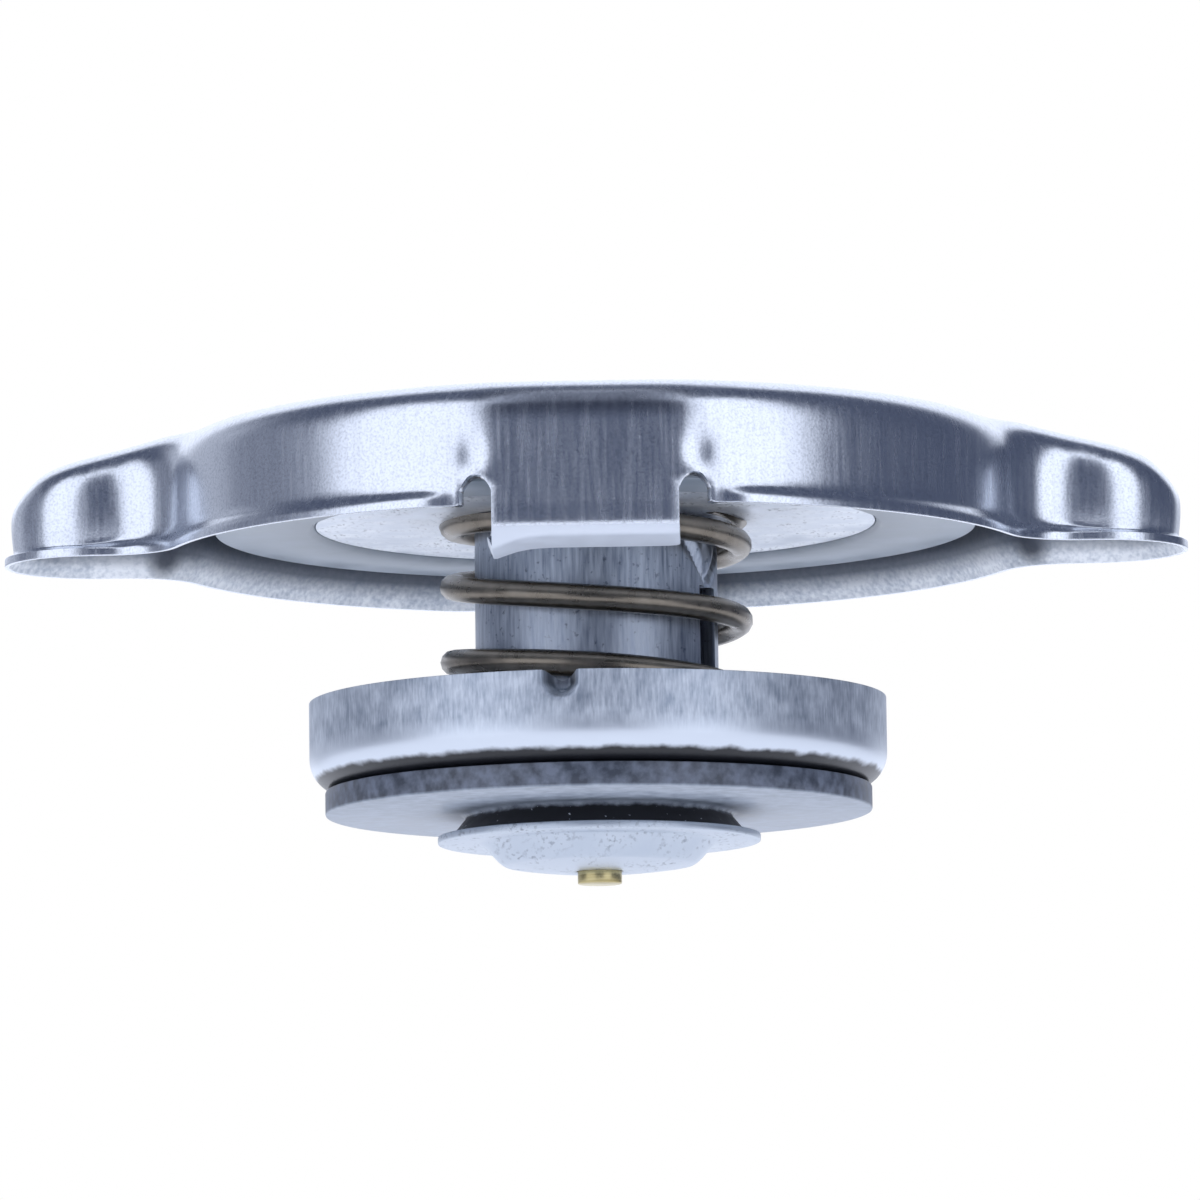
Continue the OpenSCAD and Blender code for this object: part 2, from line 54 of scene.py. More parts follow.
# %% [markdown]
# ## Camera
# The photograph looks a few degrees up at the cap through a long lens. The distance, height and lens were
# worked out from the ellipses that the round edges make, so the camera is placed from those sizes and not by
# eye.

# %% Place the camera
CAMERA_DISTANCE = 591.4
CAMERA_HEIGHT = -78.86
CAMERA_AZIMUTH = radians(1.3)
CAMERA_PITCH = radians(7.139)
CAMERA_ROLL = radians(-0.75)
CAMERA_YAW = radians(-0.0245)
LENS_LENGTH = 262.84
SENSOR_WIDTH = 36

bpy.ops.object.camera_add()
camera = bpy.context.object
camera.data.lens = LENS_LENGTH
camera.data.sensor_width = SENSOR_WIDTH
camera.data.clip_start = 0.01
camera_turn = (
    Matrix.Rotation(CAMERA_AZIMUTH + CAMERA_YAW, 4, "Z")
    @ Matrix.Rotation(pi / 2 + CAMERA_PITCH, 4, "X")
    @ Matrix.Rotation(CAMERA_ROLL, 4, "Z")
)
camera_place = Vector((
    CAMERA_DISTANCE * sin(CAMERA_AZIMUTH),
    -CAMERA_DISTANCE * cos(CAMERA_AZIMUTH),
    CAMERA_HEIGHT,
)) * MM
camera.matrix_world = Matrix.Translation(camera_place) @ camera_turn
bpy.context.scene.camera = camera
print("camera at", [round(v, 4) for v in camera_place])

# %% [markdown]
# ## Nodes
# Every finish and the light below are made of nodes. One small function adds a node, sets what it is given
# and links what comes from other nodes. Colours are written as sRGB hex, as a paint card would give them,
# and turned to the linear values that shaders work in.

# %% Helpers for nodes
def linear(hex_colour):
    channels = [int(hex_colour[i:i + 2], 16) / 255 for i in (0, 2, 4)]
    return [c / 12.92 if c <= 0.04045 else ((c + 0.055) / 1.055) ** 2.4 for c in channels] + [1]


def add_node(tree, kind, inputs=(), **settings):
    """Adds a node. An input is a value, a socket, or a node whose first output is meant."""
    node = tree.nodes.new("ShaderNode" + kind)
    for name, value in settings.items():
        setattr(node, name, value)
    for socket, value in dict(inputs).items():
        if isinstance(value, bpy.types.Node):
            value = value.outputs[0]
        if isinstance(value, bpy.types.NodeSocket):
            tree.links.new(value, node.inputs[socket])
        else:
            node.inputs[socket].default_value = value
    return node


MIX_A, MIX_B, MIX_OUT = 6, 7, 2

# %% [markdown]
# ## Light
# Bright metal shows its surroundings more than its own colour. The reflections look like those of a white
# tent: a bright panel on each side of the lens and a smaller pair above it, a dark gap where the lens looks
# in, dark gaps beside and above the panels, white behind. Lamps and cards could be stood round the cap, but
# they would show in other views. A world shader that is bright in those directions gives the same soft light
# and leaves the stage empty.

# %% Studio world
# Each panel: its name, whether it lies on both sides alike, azimuth from and to, elevation from and to,
# softness, all in degrees, and strength.
PANELS = [
    ("left panel", False, -74, -22, -30, 54, 6, 1.3),
    ("right panel", False, 22, 61, -30, 54, 6, 1.4),
    ("above the lens", True, 8, 27, 46, 92, 5, 1.2),
    ("left wall", False, -128, -74, -30, 30, 10, 0.15),
    ("overhead", True, -90, 400, 80, 200, 8, 0.08),
    ("behind", True, 150, 400, -60, 6, 8, 1.3),
    ("behind, higher", True, 140, 400, 6, 66, 8, 1.2),
    ("left corner", False, -150, -112, -60, 35, 12, 0.5),
    ("right corner", False, 140, 152, -60, 35, 8, 0.8),
    ("ground glow", True, -90, 400, -200, -12, 9, 1.3),
]
GAP_COLOUR = "5F6880"
GAP_STRENGTH = 0.75
PANEL_COLOUR = "F2F6FF"

scene = bpy.context.scene
scene.view_settings.view_transform = "Standard"
scene.world = bpy.data.worlds.new("white_tent")
scene.world.use_nodes = True
tent = scene.world.node_tree
tent.nodes.clear()
ray = add_node(tent, "TexCoord")
axes = add_node(tent, "SeparateXYZ", {0: ray.outputs["Generated"]})
front = add_node(tent, "Math", {0: axes.outputs["Y"], 1: -1}, operation="MULTIPLY")
azimuth = add_node(tent, "Math", {0: axes.outputs["X"], 1: front}, operation="ARCTAN2")
azimuth = add_node(tent, "Math", {0: azimuth}, operation="DEGREES")
either_side = add_node(tent, "Math", {0: azimuth}, operation="ABSOLUTE")
elevation = add_node(tent, "Math", {0: axes.outputs["Z"]}, operation="ARCSINE")
elevation = add_node(tent, "Math", {0: elevation}, operation="DEGREES")

glow = None
for name, both, az_low, az_high, el_low, el_high, soft, strength in PANELS:
    angle = either_side if both else azimuth
    share = None
    for source, edge, direction in (
        (angle, az_low, 1), (angle, az_high, -1), (elevation, el_low, 1), (elevation, el_high, -1),
    ):
        step = add_node(tent, "MapRange", {
            "Value": source,
            "From Min": edge - soft * direction,
            "From Max": edge + soft * direction,
            "To Max": strength if share is None else 1,
        }, interpolation_type="SMOOTHSTEP", label=name)
        share = step if share is None else add_node(tent, "Math", {0: share, 1: step}, operation="MULTIPLY")
    glow = share if glow is None else add_node(tent, "Math", {0: glow, 1: share}, operation="MAXIMUM")

panels = add_node(tent, "Background", {"Color": linear(PANEL_COLOUR), "Strength": glow})
gaps = add_node(tent, "Background", {"Color": linear(GAP_COLOUR), "Strength": GAP_STRENGTH})
room = add_node(tent, "AddShader", {0: panels, 1: gaps})
backdrop = add_node(tent, "Background", {"Color": (1, 1, 1, 1), "Strength": 1})
sight = add_node(tent, "LightPath")
seen = add_node(tent, "MixShader", {
    0: sight.outputs["Is Camera Ray"], 1: room, 2: backdrop,
})
add_node(tent, "OutputWorld", {"Surface": seen})
print("panels in the tent:", len(PANELS))

# %% [markdown]
# ## Making pieces
# Most of the cap is round, as it came off a press or a lathe. Such a piece is made as a turner would think
# of it: one point is extruded along the half section, and the section is spun about the axis. Sections are
# written in millimetres as radius and height.

# %% Helpers for pieces
WELD = 0.001 * MM


def start_piece(name):
    bpy.ops.object.select_all(action="DESELECT")
    bpy.ops.mesh.primitive_plane_add(size=MM)
    piece = bpy.context.object
    piece.name = name
    bpy.ops.object.mode_set(mode="EDIT")
    bpy.ops.mesh.select_mode(type="VERT")
    bpy.ops.mesh.select_all(action="SELECT")
    bpy.ops.mesh.merge(type="CENTER")
    return piece


def lathe(name, section, segments=160):
    piece = start_piece(name)
    bpy.ops.transform.translate(value=Vector((section[0][0], 0, section[0][1])) * MM)
    for (r0, z0), (r1, z1) in zip(section, section[1:] + section[:1]):
        step = Vector((r1 - r0, 0, z1 - z0)) * MM
        bpy.ops.mesh.extrude_region_move(TRANSFORM_OT_translate={"value": step})
    bpy.ops.mesh.select_all(action="SELECT")
    bpy.ops.mesh.remove_doubles(threshold=WELD)
    bpy.ops.mesh.spin(steps=segments, angle=tau, center=(0, 0, 0), axis=(0, 0, 1))
    bpy.ops.mesh.select_all(action="SELECT")
    bpy.ops.mesh.remove_doubles(threshold=WELD)
    bpy.ops.mesh.normals_make_consistent(inside=False)
    bpy.ops.object.mode_set(mode="OBJECT")
    return piece


def arc(x, z, radius, start, end, steps):
    angles = [radians(start + (end - start) * i / steps) for i in range(steps + 1)]
    return [(x + radius * cos(a), z + radius * sin(a)) for a in angles]


def apply_modifier(piece, kind, **settings):
    bpy.ops.object.select_all(action="DESELECT")
    piece.select_set(True)
    bpy.context.view_layer.objects.active = piece
    modifier = piece.modifiers.new(kind.lower(), kind)
    for name, value in settings.items():
        setattr(modifier, name, value)
    bpy.ops.object.modifier_apply(modifier=modifier.name)


def finish_piece(piece, body, finishes, nodes, bevel=0.0, smooth=40):
    if bevel:
        apply_modifier(
            piece, "BEVEL", width=bevel * MM, segments=2, limit_method="ANGLE", angle_limit=radians(35))
    bpy.ops.object.select_all(action="DESELECT")
    piece.select_set(True)
    bpy.context.view_layer.objects.active = piece
    bpy.ops.object.shade_smooth_by_angle(angle=radians(smooth))
    piece.data.materials.clear()
    for finish in finishes:
        piece.data.materials.append(finish)
    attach(piece, body)
    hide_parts(*nodes)
    print(piece.name, "faces:", len(piece.data.polygons))


def smooth_step(t):
    t = min(1, max(0, t))
    return t * t * (3 - 2 * t)


def mix(a, b, t):
    return a + (b - a) * t


# %% [markdown]
# ## Finishes
# The cap is steel in seven finishes, two rubbers and a turned brass pin. Each finish starts from what the
# material is and how its surface was made, and reads the object's own coordinates, so a pattern stays put on
# the piece.

# %% Start of a finish
def start_finish(name):
    material = bpy.data.materials.new(name)
    material.use_nodes = True
    tree = material.node_tree
    tree.nodes.clear()
    return material, tree, add_node(tree, "TexCoord").outputs["Object"]


def per_mm(size):
    """The scale of a pattern whose grains are about size millimetres across."""
    return 1 / (size * MM)


# %% [markdown]
# ### Bright drawn steel
# The shell was drawn from bright sheet and plated. Its outside is nearly a mirror, with fine lines up the
# wall where the die dragged, a fine grain in the plating and a slow waviness that makes the reflections
# wander. A dark band over the shoulder above each tang is a painted reflection: the base colour is darkened
# there. It may be a reflection, and it is drawn here as a rubbed place on both.

# %% Bright drawn steel
# The dark band over the shoulder above each tang is a painted reflection, placed by height, by distance aside
# and by distance out.
REFLECTION_BAND_Z = (3.3, 4.6, 5.2, 5.8)
REFLECTION_BAND_X = (8.5, 5)
REFLECTION_BAND_Y = (17, 19)
REFLECTION_BAND_SHARE = 0.72
bright_steel, tree, coords = start_finish("bright_drawn_steel")
stretched = add_node(tree, "Mapping", {"Vector": coords, "Scale": (per_mm(0.35), per_mm(0.35), per_mm(6))})
draw_lines = add_node(tree, "TexNoise", {"Vector": stretched, "Scale": 1, "Detail": 4})
waves = add_node(tree, "TexNoise", {"Vector": coords, "Scale": per_mm(7), "Detail": 2})
grain = add_node(tree, "TexNoise", {"Vector": coords, "Scale": per_mm(0.17), "Detail": 3})
dullness = add_node(tree, "MapRange", {
    "Value": draw_lines, "From Min": 0.35, "From Max": 0.75, "To Min": 0.2, "To Max": 0.3,
})
dirty = add_node(tree, "MapRange", {"Value": grain, "From Min": 0.45, "From Max": 0.8, "To Max": 0.4})
plated = add_node(tree, "Mix", {
    0: dirty, MIX_A: linear("DCE1EA"), MIX_B: linear("7C8290"),
}, data_type="RGBA")
place = add_node(tree, "SeparateXYZ", {0: coords})
aside = add_node(tree, "Math", {0: place.outputs["X"]}, operation="ABSOLUTE")
outward = add_node(tree, "Math", {0: place.outputs["Y"]}, operation="ABSOLUTE")
painted_reflection_band = None
for source, start, end in (
    (place.outputs["Z"], REFLECTION_BAND_Z[0], REFLECTION_BAND_Z[1]), (place.outputs["Z"], REFLECTION_BAND_Z[3], REFLECTION_BAND_Z[2]),
    (aside, *REFLECTION_BAND_X), (outward, *REFLECTION_BAND_Y),
):
    step = add_node(tree, "MapRange", {
        "Value": source, "From Min": start * MM, "From Max": end * MM,
        "To Max": REFLECTION_BAND_SHARE if painted_reflection_band is None else 1,
    }, interpolation_type="SMOOTHSTEP")
    painted_reflection_band = step if painted_reflection_band is None else add_node(tree, "Math", {0: painted_reflection_band, 1: step}, operation="MULTIPLY")
# The painted reflection darkens the base colour.
colour = add_node(tree, "Mix", {
    0: painted_reflection_band, MIX_A: plated.outputs[MIX_OUT], MIX_B: linear("585F70"),
}, data_type="RGBA")
line_bump = add_node(tree, "Bump", {"Strength": 0.22, "Distance": 0.004 * MM, "Height": draw_lines})
grain_bump = add_node(tree, "Bump", {
    "Strength": 0.45, "Distance": 0.008 * MM, "Height": grain, "Normal": line_bump,
})
wave_bump = add_node(tree, "Bump", {
    "Strength": 0.6, "Distance": 0.08 * MM, "Height": waves, "Normal": grain_bump,
})
shader = add_node(tree, "BsdfPrincipled", {
    "Base Color": colour.outputs[MIX_OUT], "Metallic": 1, "Roughness": dullness, "Normal": wave_bump,
})
add_node(tree, "OutputMaterial", {"Surface": shader})
print(bright_steel.name, "nodes:", len(tree.nodes))

# %% [markdown]
# ### Pale lip
# The underside of each tang's lip is painted pale: painted light, standing in for the light it catches from
# below, and a pale finish is pale from every side. A rougher bright steel would still mirror the floor. Part
# metal, part matt haze stays pale, so the lip gets a finish of its own.

# %% Pale lip, painted light
painted_pale_lip, tree, coords = start_finish("painted_pale_tang_lip")
haze = add_node(tree, "TexNoise", {"Vector": coords, "Scale": per_mm(1.5), "Detail": 3})
dullness = add_node(tree, "MapRange", {
    "Value": haze, "From Min": 0.3, "From Max": 0.7, "To Min": 0.45, "To Max": 0.6,
})
shader = add_node(tree, "BsdfPrincipled", {
    "Base Color": linear("D8DEE8"), "Metallic": 0.35, "Roughness": dullness,
})
add_node(tree, "OutputMaterial", {"Surface": shader})
print(painted_pale_lip.name, "nodes:", len(tree.nodes))

# %% [markdown]
# ### Dull zinc
# The inside of the shell was never polished. It is a pale, speckled zinc that scatters the light, with
# painted shade up under the crown and a painted dark reflection at each ear's root. The places of dark are
# set by height and by distance from the ears' roots, because painting them by hand would need an image.

# %% Dull zinc
CROWN_SHADE_Z = (-1.5, -0.3)
ROOT_REFLECTION_PLACE = (29.5, 5.7, 1.0)
ROOT_REFLECTION_R = (1.8, 0.7)
dull_zinc, tree, coords = start_finish("dull_zinc")
speckle = add_node(tree, "TexNoise", {"Vector": coords, "Scale": per_mm(0.35), "Detail": 4})
patches = add_node(tree, "TexNoise", {"Vector": coords, "Scale": per_mm(4), "Detail": 3})
shade = add_node(tree, "Math", {0: speckle, 1: patches}, operation="ADD")
pale = add_node(tree, "MapRange", {"Value": shade, "From Min": 0.75, "From Max": 1.2})
zinc = add_node(tree, "Mix", {
    0: pale, MIX_A: linear("BAC2CD"), MIX_B: linear("F6F9FC"),
}, data_type="RGBA")
height = add_node(tree, "SeparateXYZ", {0: coords})
# Painted shade: the colour darkens up under the crown.
painted_crown_shade = add_node(tree, "MapRange", {
    "Value": height.outputs["Z"], "From Min": CROWN_SHADE_Z[0] * MM, "From Max": CROWN_SHADE_Z[1] * MM,
    "To Max": 0.9,
})
shaded = add_node(tree, "Mix", {
    0: painted_crown_shade, MIX_A: zinc.outputs[MIX_OUT], MIX_B: linear("5A616E"),
}, data_type="RGBA")
# Each ear's root has a painted dark reflection, standing in for the dark that its curved inside mirrors; the
# cap's four roots mirror each other.
quadrant = add_node(tree, "VectorMath", {0: coords}, operation="ABSOLUTE")
from_root = add_node(tree, "VectorMath", {
    0: quadrant, 1: [size * MM for size in ROOT_REFLECTION_PLACE],
}, operation="DISTANCE")
painted_root_reflection = add_node(tree, "MapRange", {
    "Value": from_root.outputs["Value"], "From Min": ROOT_REFLECTION_R[0] * MM, "From Max": ROOT_REFLECTION_R[1] * MM,
    "To Max": 0.9,
})
colour = add_node(tree, "Mix", {
    0: painted_root_reflection, MIX_A: shaded.outputs[MIX_OUT], MIX_B: linear("454A55"),
}, data_type="RGBA")
dullness = add_node(tree, "MapRange", {
    "Value": patches, "From Min": 0.3, "From Max": 0.7, "To Min": 0.38, "To Max": 0.55,
})
bump = add_node(tree, "Bump", {"Strength": 0.5, "Distance": 0.02 * MM, "Height": speckle})
shader = add_node(tree, "BsdfPrincipled", {
    "Base Color": colour.outputs[MIX_OUT], "Metallic": 0.3, "Roughness": dullness, "Normal": bump,
})
add_node(tree, "OutputMaterial", {"Surface": shader})
print(dull_zinc.name, "nodes:", len(tree.nodes))

# %% [markdown]
# ### Bright zinc plate
# The seal plate, the vacuum disc and the rivet are stamped parts with a pale zinc plate, a little cloudy,
# with dark specks where dirt sits in the plating. One noise cut off high gives specks, and multiplying it by
# slow clouds gathers them in patches, which even specks would lack.

# %% Bright zinc plate
DARKER_LOW_Z = (-19.5, -20.5)
zinc_plate, tree, coords = start_finish("bright_zinc_plate")
clouds = add_node(tree, "TexNoise", {"Vector": coords, "Scale": per_mm(2.5), "Detail": 4})
# The specks run a little along the sheet's rolling direction. They are drawn coarser than real ones, because
# those would not show.
rolled = add_node(tree, "Mapping", {"Vector": coords, "Scale": (per_mm(0.3), per_mm(0.9), per_mm(0.3))})
specks = add_node(tree, "TexNoise", {"Vector": rolled, "Scale": 1, "Detail": 3})
cloudy = add_node(tree, "MapRange", {"Value": clouds, "From Min": 0.35, "From Max": 0.65})
speckled = add_node(tree, "MapRange", {"Value": specks, "From Min": 0.53, "From Max": 0.68, "To Max": 0.65})
patchy = add_node(tree, "MapRange", {"Value": clouds, "From Min": 0.42, "From Max": 0.62})
dirt = add_node(tree, "Math", {0: speckled, 1: patchy}, operation="MULTIPLY")
plate = add_node(tree, "Mix", {
    0: cloudy, MIX_A: linear("D2D9E3"), MIX_B: linear("F0F4F9"),
}, data_type="RGBA")
# The colour is darker lowest down, on the vacuum disc.
height = add_node(tree, "SeparateXYZ", {0: coords})
darker_low = add_node(tree, "MapRange", {
    "Value": height.outputs["Z"], "From Min": DARKER_LOW_Z[0] * MM, "From Max": DARKER_LOW_Z[1] * MM,
    "To Max": 0.75,
})
darkened_low = add_node(tree, "Mix", {
    0: darker_low, MIX_A: plate.outputs[MIX_OUT], MIX_B: linear("B4BDC8"),
}, data_type="RGBA")
colour = add_node(tree, "Mix", {
    0: dirt, MIX_A: darkened_low.outputs[MIX_OUT], MIX_B: linear("6A707C"),
}, data_type="RGBA")
dullness = add_node(tree, "MapRange", {
    "Value": clouds, "From Min": 0.3, "From Max": 0.7, "To Min": 0.32, "To Max": 0.48,
})
grainy = add_node(tree, "Math", {0: clouds, 1: specks}, operation="ADD")
bump = add_node(tree, "Bump", {"Strength": 0.4, "Distance": 0.02 * MM, "Height": grainy})
shader = add_node(tree, "BsdfPrincipled", {
    "Base Color": colour.outputs[MIX_OUT], "Metallic": 0.8, "Roughness": dullness, "Normal": bump,
})
add_node(tree, "OutputMaterial", {"Surface": shader})
print(zinc_plate.name, "nodes:", len(tree.nodes))

# %% [markdown]
# ### Drawn cup zinc
# The valve cup was drawn and then zinc plated. Its wall is dull and blotchy, its lower corner, which the die
# ironed, is brighter and smoother, and the crease above the gasket is painted near black as painted shade.
# All three lie on one plating, so one finish changes with height, and a noise added to the height makes the
# painted shade's edge ragged.

# %% Drawn cup zinc
IRONED_LOW, IRONED_HIGH = -15.9, -14.6
CREASE_SHADE_LOW, CREASE_SHADE_HIGH = -17.05, -16.65
RAGGED = 0.3
STAKE_SHADE_R = (19.45, 18.7)
STAKE_SHADE_Z = (-13.2, -12.5)
cup_zinc, tree, coords = start_finish("drawn_cup_zinc")
blotches = add_node(tree, "TexNoise", {"Vector": coords, "Scale": per_mm(1.4), "Detail": 6})
stretched = add_node(tree, "Mapping", {"Vector": coords, "Scale": (per_mm(0.18), per_mm(0.18), per_mm(1))})
wall_lines = add_node(tree, "TexNoise", {"Vector": stretched, "Scale": 1, "Detail": 3})
cloud = add_node(tree, "Math", {0: blotches, 1: wall_lines}, operation="ADD")
cloudy = add_node(tree, "MapRange", {"Value": cloud, "From Min": 0.7, "From Max": 1.3})
wall = add_node(tree, "Mix", {
    0: cloudy, MIX_A: linear("98A2B1"), MIX_B: linear("D0D7E1"),
}, data_type="RGBA")
height = add_node(tree, "SeparateXYZ", {0: coords})
ironed = add_node(tree, "MapRange", {
    "Value": height.outputs["Z"], "From Min": IRONED_HIGH * MM, "From Max": IRONED_LOW * MM,
})
bright = add_node(tree, "Mix", {
    0: ironed, MIX_A: wall.outputs[MIX_OUT], MIX_B: linear("D6DDE7"),
}, data_type="RGBA")
ragged = add_node(tree, "MapRange", {"Value": blotches, "To Min": -RAGGED * MM, "To Max": RAGGED * MM})
ragged_height = add_node(tree, "Math", {0: height.outputs["Z"], 1: ragged}, operation="ADD")
# Painted shade: the crease above the gasket is darkened near black, with a ragged edge.
painted_crease_shade = add_node(tree, "MapRange", {
    "Value": ragged_height, "From Min": CREASE_SHADE_HIGH * MM, "From Max": CREASE_SHADE_LOW * MM,
}, interpolation_type="SMOOTHSTEP")
crease_shaded = add_node(tree, "Mix", {
    0: painted_crease_shade, MIX_A: bright.outputs[MIX_OUT], MIX_B: linear("17181D"),
}, data_type="RGBA")
# Painted shade darkens the stakes, which lie inside the wall's radius near the rim.
across = add_node(tree, "CombineXYZ", {"X": height.outputs["X"], "Y": height.outputs["Y"]})
radius = add_node(tree, "VectorMath", {0: across}, operation="LENGTH")
sunk = add_node(tree, "MapRange", {
    "Value": radius.outputs["Value"], "From Min": STAKE_SHADE_R[0] * MM, "From Max": STAKE_SHADE_R[1] * MM,
    "To Max": 0.75,
})
near_rim = add_node(tree, "MapRange", {
    "Value": height.outputs["Z"], "From Min": STAKE_SHADE_Z[0] * MM, "From Max": STAKE_SHADE_Z[1] * MM,
})
painted_stake_shade = add_node(tree, "Math", {0: sunk, 1: near_rim}, operation="MULTIPLY")
colour = add_node(tree, "Mix", {
    0: painted_stake_shade, MIX_A: crease_shaded.outputs[MIX_OUT], MIX_B: linear("3A3F4A"),
}, data_type="RGBA")
wall_dullness = add_node(tree, "MapRange", {
    "Value": blotches, "From Min": 0.3, "From Max": 0.7, "To Min": 0.4, "To Max": 0.54,
})
dullness = add_node(tree, "Mix", {"Factor": ironed, "A": wall_dullness, "B": 0.34})
# The painted shade also takes the metal out of the crease.
metal = add_node(tree, "Math", {0: 0.75, 1: painted_crease_shade}, operation="SUBTRACT", use_clamp=True)
bump = add_node(tree, "Bump", {"Strength": 0.4, "Distance": 0.015 * MM, "Height": cloud})
shader = add_node(tree, "BsdfPrincipled", {
    "Base Color": colour.outputs[MIX_OUT], "Metallic": metal, "Roughness": dullness, "Normal": bump,
})
add_node(tree, "OutputMaterial", {"Surface": shader})
print(cup_zinc.name, "nodes:", len(tree.nodes))

# %% [markdown]
# ### Drawn stem steel
# The stem is a deep thimble, so its wall carries long lines along the draw and small pits. A noise stretched
# along the axis gives the lines in colour, roughness and bump at once, so they agree.

# %% Drawn stem steel
stem_steel, tree, coords = start_finish("drawn_stem_steel")
stretched = add_node(tree, "Mapping", {"Vector": coords, "Scale": (per_mm(0.25), per_mm(0.25), per_mm(2.5))})
stem_lines = add_node(tree, "TexNoise", {"Vector": stretched, "Scale": 1, "Detail": 4})
pits = add_node(tree, "TexNoise", {"Vector": coords, "Scale": per_mm(0.4), "Detail": 3})
lined = add_node(tree, "MapRange", {"Value": stem_lines, "From Min": 0.3, "From Max": 0.7})
pitted = add_node(tree, "MapRange", {"Value": pits, "From Min": 0.62, "From Max": 0.72, "To Max": 0.6})
drawn = add_node(tree, "Mix", {
    0: lined, MIX_A: linear("858E9E"), MIX_B: linear("B8C0CC"),
}, data_type="RGBA")
colour = add_node(tree, "Mix", {
    0: pitted, MIX_A: drawn.outputs[MIX_OUT], MIX_B: linear("4B515D"),
}, data_type="RGBA")
dullness = add_node(tree, "MapRange", {
    "Value": stem_lines, "From Min": 0.3, "From Max": 0.7, "To Min": 0.3, "To Max": 0.46,
})
bump = add_node(tree, "Bump", {"Strength": 0.35, "Distance": 0.012 * MM, "Height": stem_lines})
shader = add_node(tree, "BsdfPrincipled", {
    "Base Color": colour.outputs[MIX_OUT], "Metallic": 0.9, "Roughness": dullness, "Normal": bump,
})
add_node(tree, "OutputMaterial", {"Surface": shader})
print(stem_steel.name, "nodes:", len(tree.nodes))

# %% [markdown]
# ### Drawn spring wire
# Spring wire is drawn through soap and then stress relieved, which leaves it warm grey with a soft shine. A
# plain noise is enough here, because the wire is thin and its round section already breaks up the
# reflections.

# %% Drawn spring wire
spring_wire, tree, coords = start_finish("drawn_spring_wire")
soap = add_node(tree, "TexNoise", {"Vector": coords, "Scale": per_mm(1.2), "Detail": 5})
soapy = add_node(tree, "MapRange", {"Value": soap, "From Min": 0.3, "From Max": 0.7})
colour = add_node(tree, "Mix", {
    0: soapy, MIX_A: linear("716A60"), MIX_B: linear("8A8277"),
}, data_type="RGBA")
dullness = add_node(tree, "MapRange", {
    "Value": soap, "From Min": 0.3, "From Max": 0.7, "To Min": 0.24, "To Max": 0.36,
})
bump = add_node(tree, "Bump", {"Strength": 0.2, "Distance": 0.01 * MM, "Height": soap})
shader = add_node(tree, "BsdfPrincipled", {
    "Base Color": colour.outputs[MIX_OUT], "Metallic": 0.95, "Roughness": dullness, "Normal": bump,
})
add_node(tree, "OutputMaterial", {"Surface": shader})
print(spring_wire.name, "nodes:", len(tree.nodes))

# %% [markdown]
# ### Moulded rubbers
# The upper seal is a smooth grey rubber that looks pale at a low angle. The lower gasket is darker and
# mottled, its underside is painted paler as a painted reflection of the light from below, and its lip is
# nearly black with a few white specks, with painted shadow reaching from it onto the underside. Rubber
# isn't a metal, so its colour does the work, and pale underside, dark lip and painted shadow are placed by
# height on one finish, as washer and lip are one moulding.

# %% Upper seal rubber
seal_rubber, tree, coords = start_finish("smooth_seal_rubber")
bloom = add_node(tree, "TexNoise", {"Vector": coords, "Scale": per_mm(3), "Detail": 4})
bloomed = add_node(tree, "MapRange", {"Value": bloom, "From Min": 0.35, "From Max": 0.65})
colour = add_node(tree, "Mix", {
    0: bloomed, MIX_A: linear("85909B"), MIX_B: linear("9BA4AF"),
}, data_type="RGBA")
dullness = add_node(tree, "MapRange", {
    "Value": bloom, "From Min": 0.3, "From Max": 0.7, "To Min": 0.3, "To Max": 0.42,
})
bump = add_node(tree, "Bump", {"Strength": 0.3, "Distance": 0.02 * MM, "Height": bloom})
shader = add_node(tree, "BsdfPrincipled", {
    "Base Color": colour.outputs[MIX_OUT], "Roughness": dullness, "Normal": bump,
})
add_node(tree, "OutputMaterial", {"Surface": shader})
print(seal_rubber.name, "nodes:", len(tree.nodes))

# %% Gasket rubber
UNDERSIDE_Z = -19.4
SMEAR = 0.3
gasket_rubber, tree, coords = start_finish("mottled_gasket_rubber")
mottle = add_node(tree, "TexNoise", {"Vector": coords, "Scale": per_mm(0.9), "Detail": 5})
specks = add_node(tree, "TexNoise", {"Vector": coords, "Scale": per_mm(0.3), "Detail": 2})
mottled = add_node(tree, "MapRange", {"Value": mottle, "From Min": 0.35, "From Max": 0.65})
side = add_node(tree, "Mix", {
    0: mottled, MIX_A: linear("3D434F"), MIX_B: linear("6C7484"),
}, data_type="RGBA")
below = add_node(tree, "Mix", {
    0: mottled, MIX_A: linear("838C99"), MIX_B: linear("A2AAB6"),
}, data_type="RGBA")
place = add_node(tree, "SeparateXYZ", {0: coords})
# Painted reflection: the underside is paler than the side, standing in for the light from below.
painted_underside_reflection = add_node(tree, "MapRange", {
    "Value": place.outputs["Z"], "From Min": (UNDERSIDE_Z + 0.2) * MM, "From Max": (UNDERSIDE_Z + 0.05) * MM,
})
side_and_pale_underside = add_node(tree, "Mix", {
    0: painted_underside_reflection, MIX_A: side.outputs[MIX_OUT], MIX_B: below.outputs[MIX_OUT],
}, data_type="RGBA")
speckled = add_node(tree, "MapRange", {"Value": specks, "From Min": 0.7, "From Max": 0.74})
lip = add_node(tree, "Mix", {
    0: speckled, MIX_A: linear("1B1B20"), MIX_B: linear("C8CCD4"),
}, data_type="RGBA")
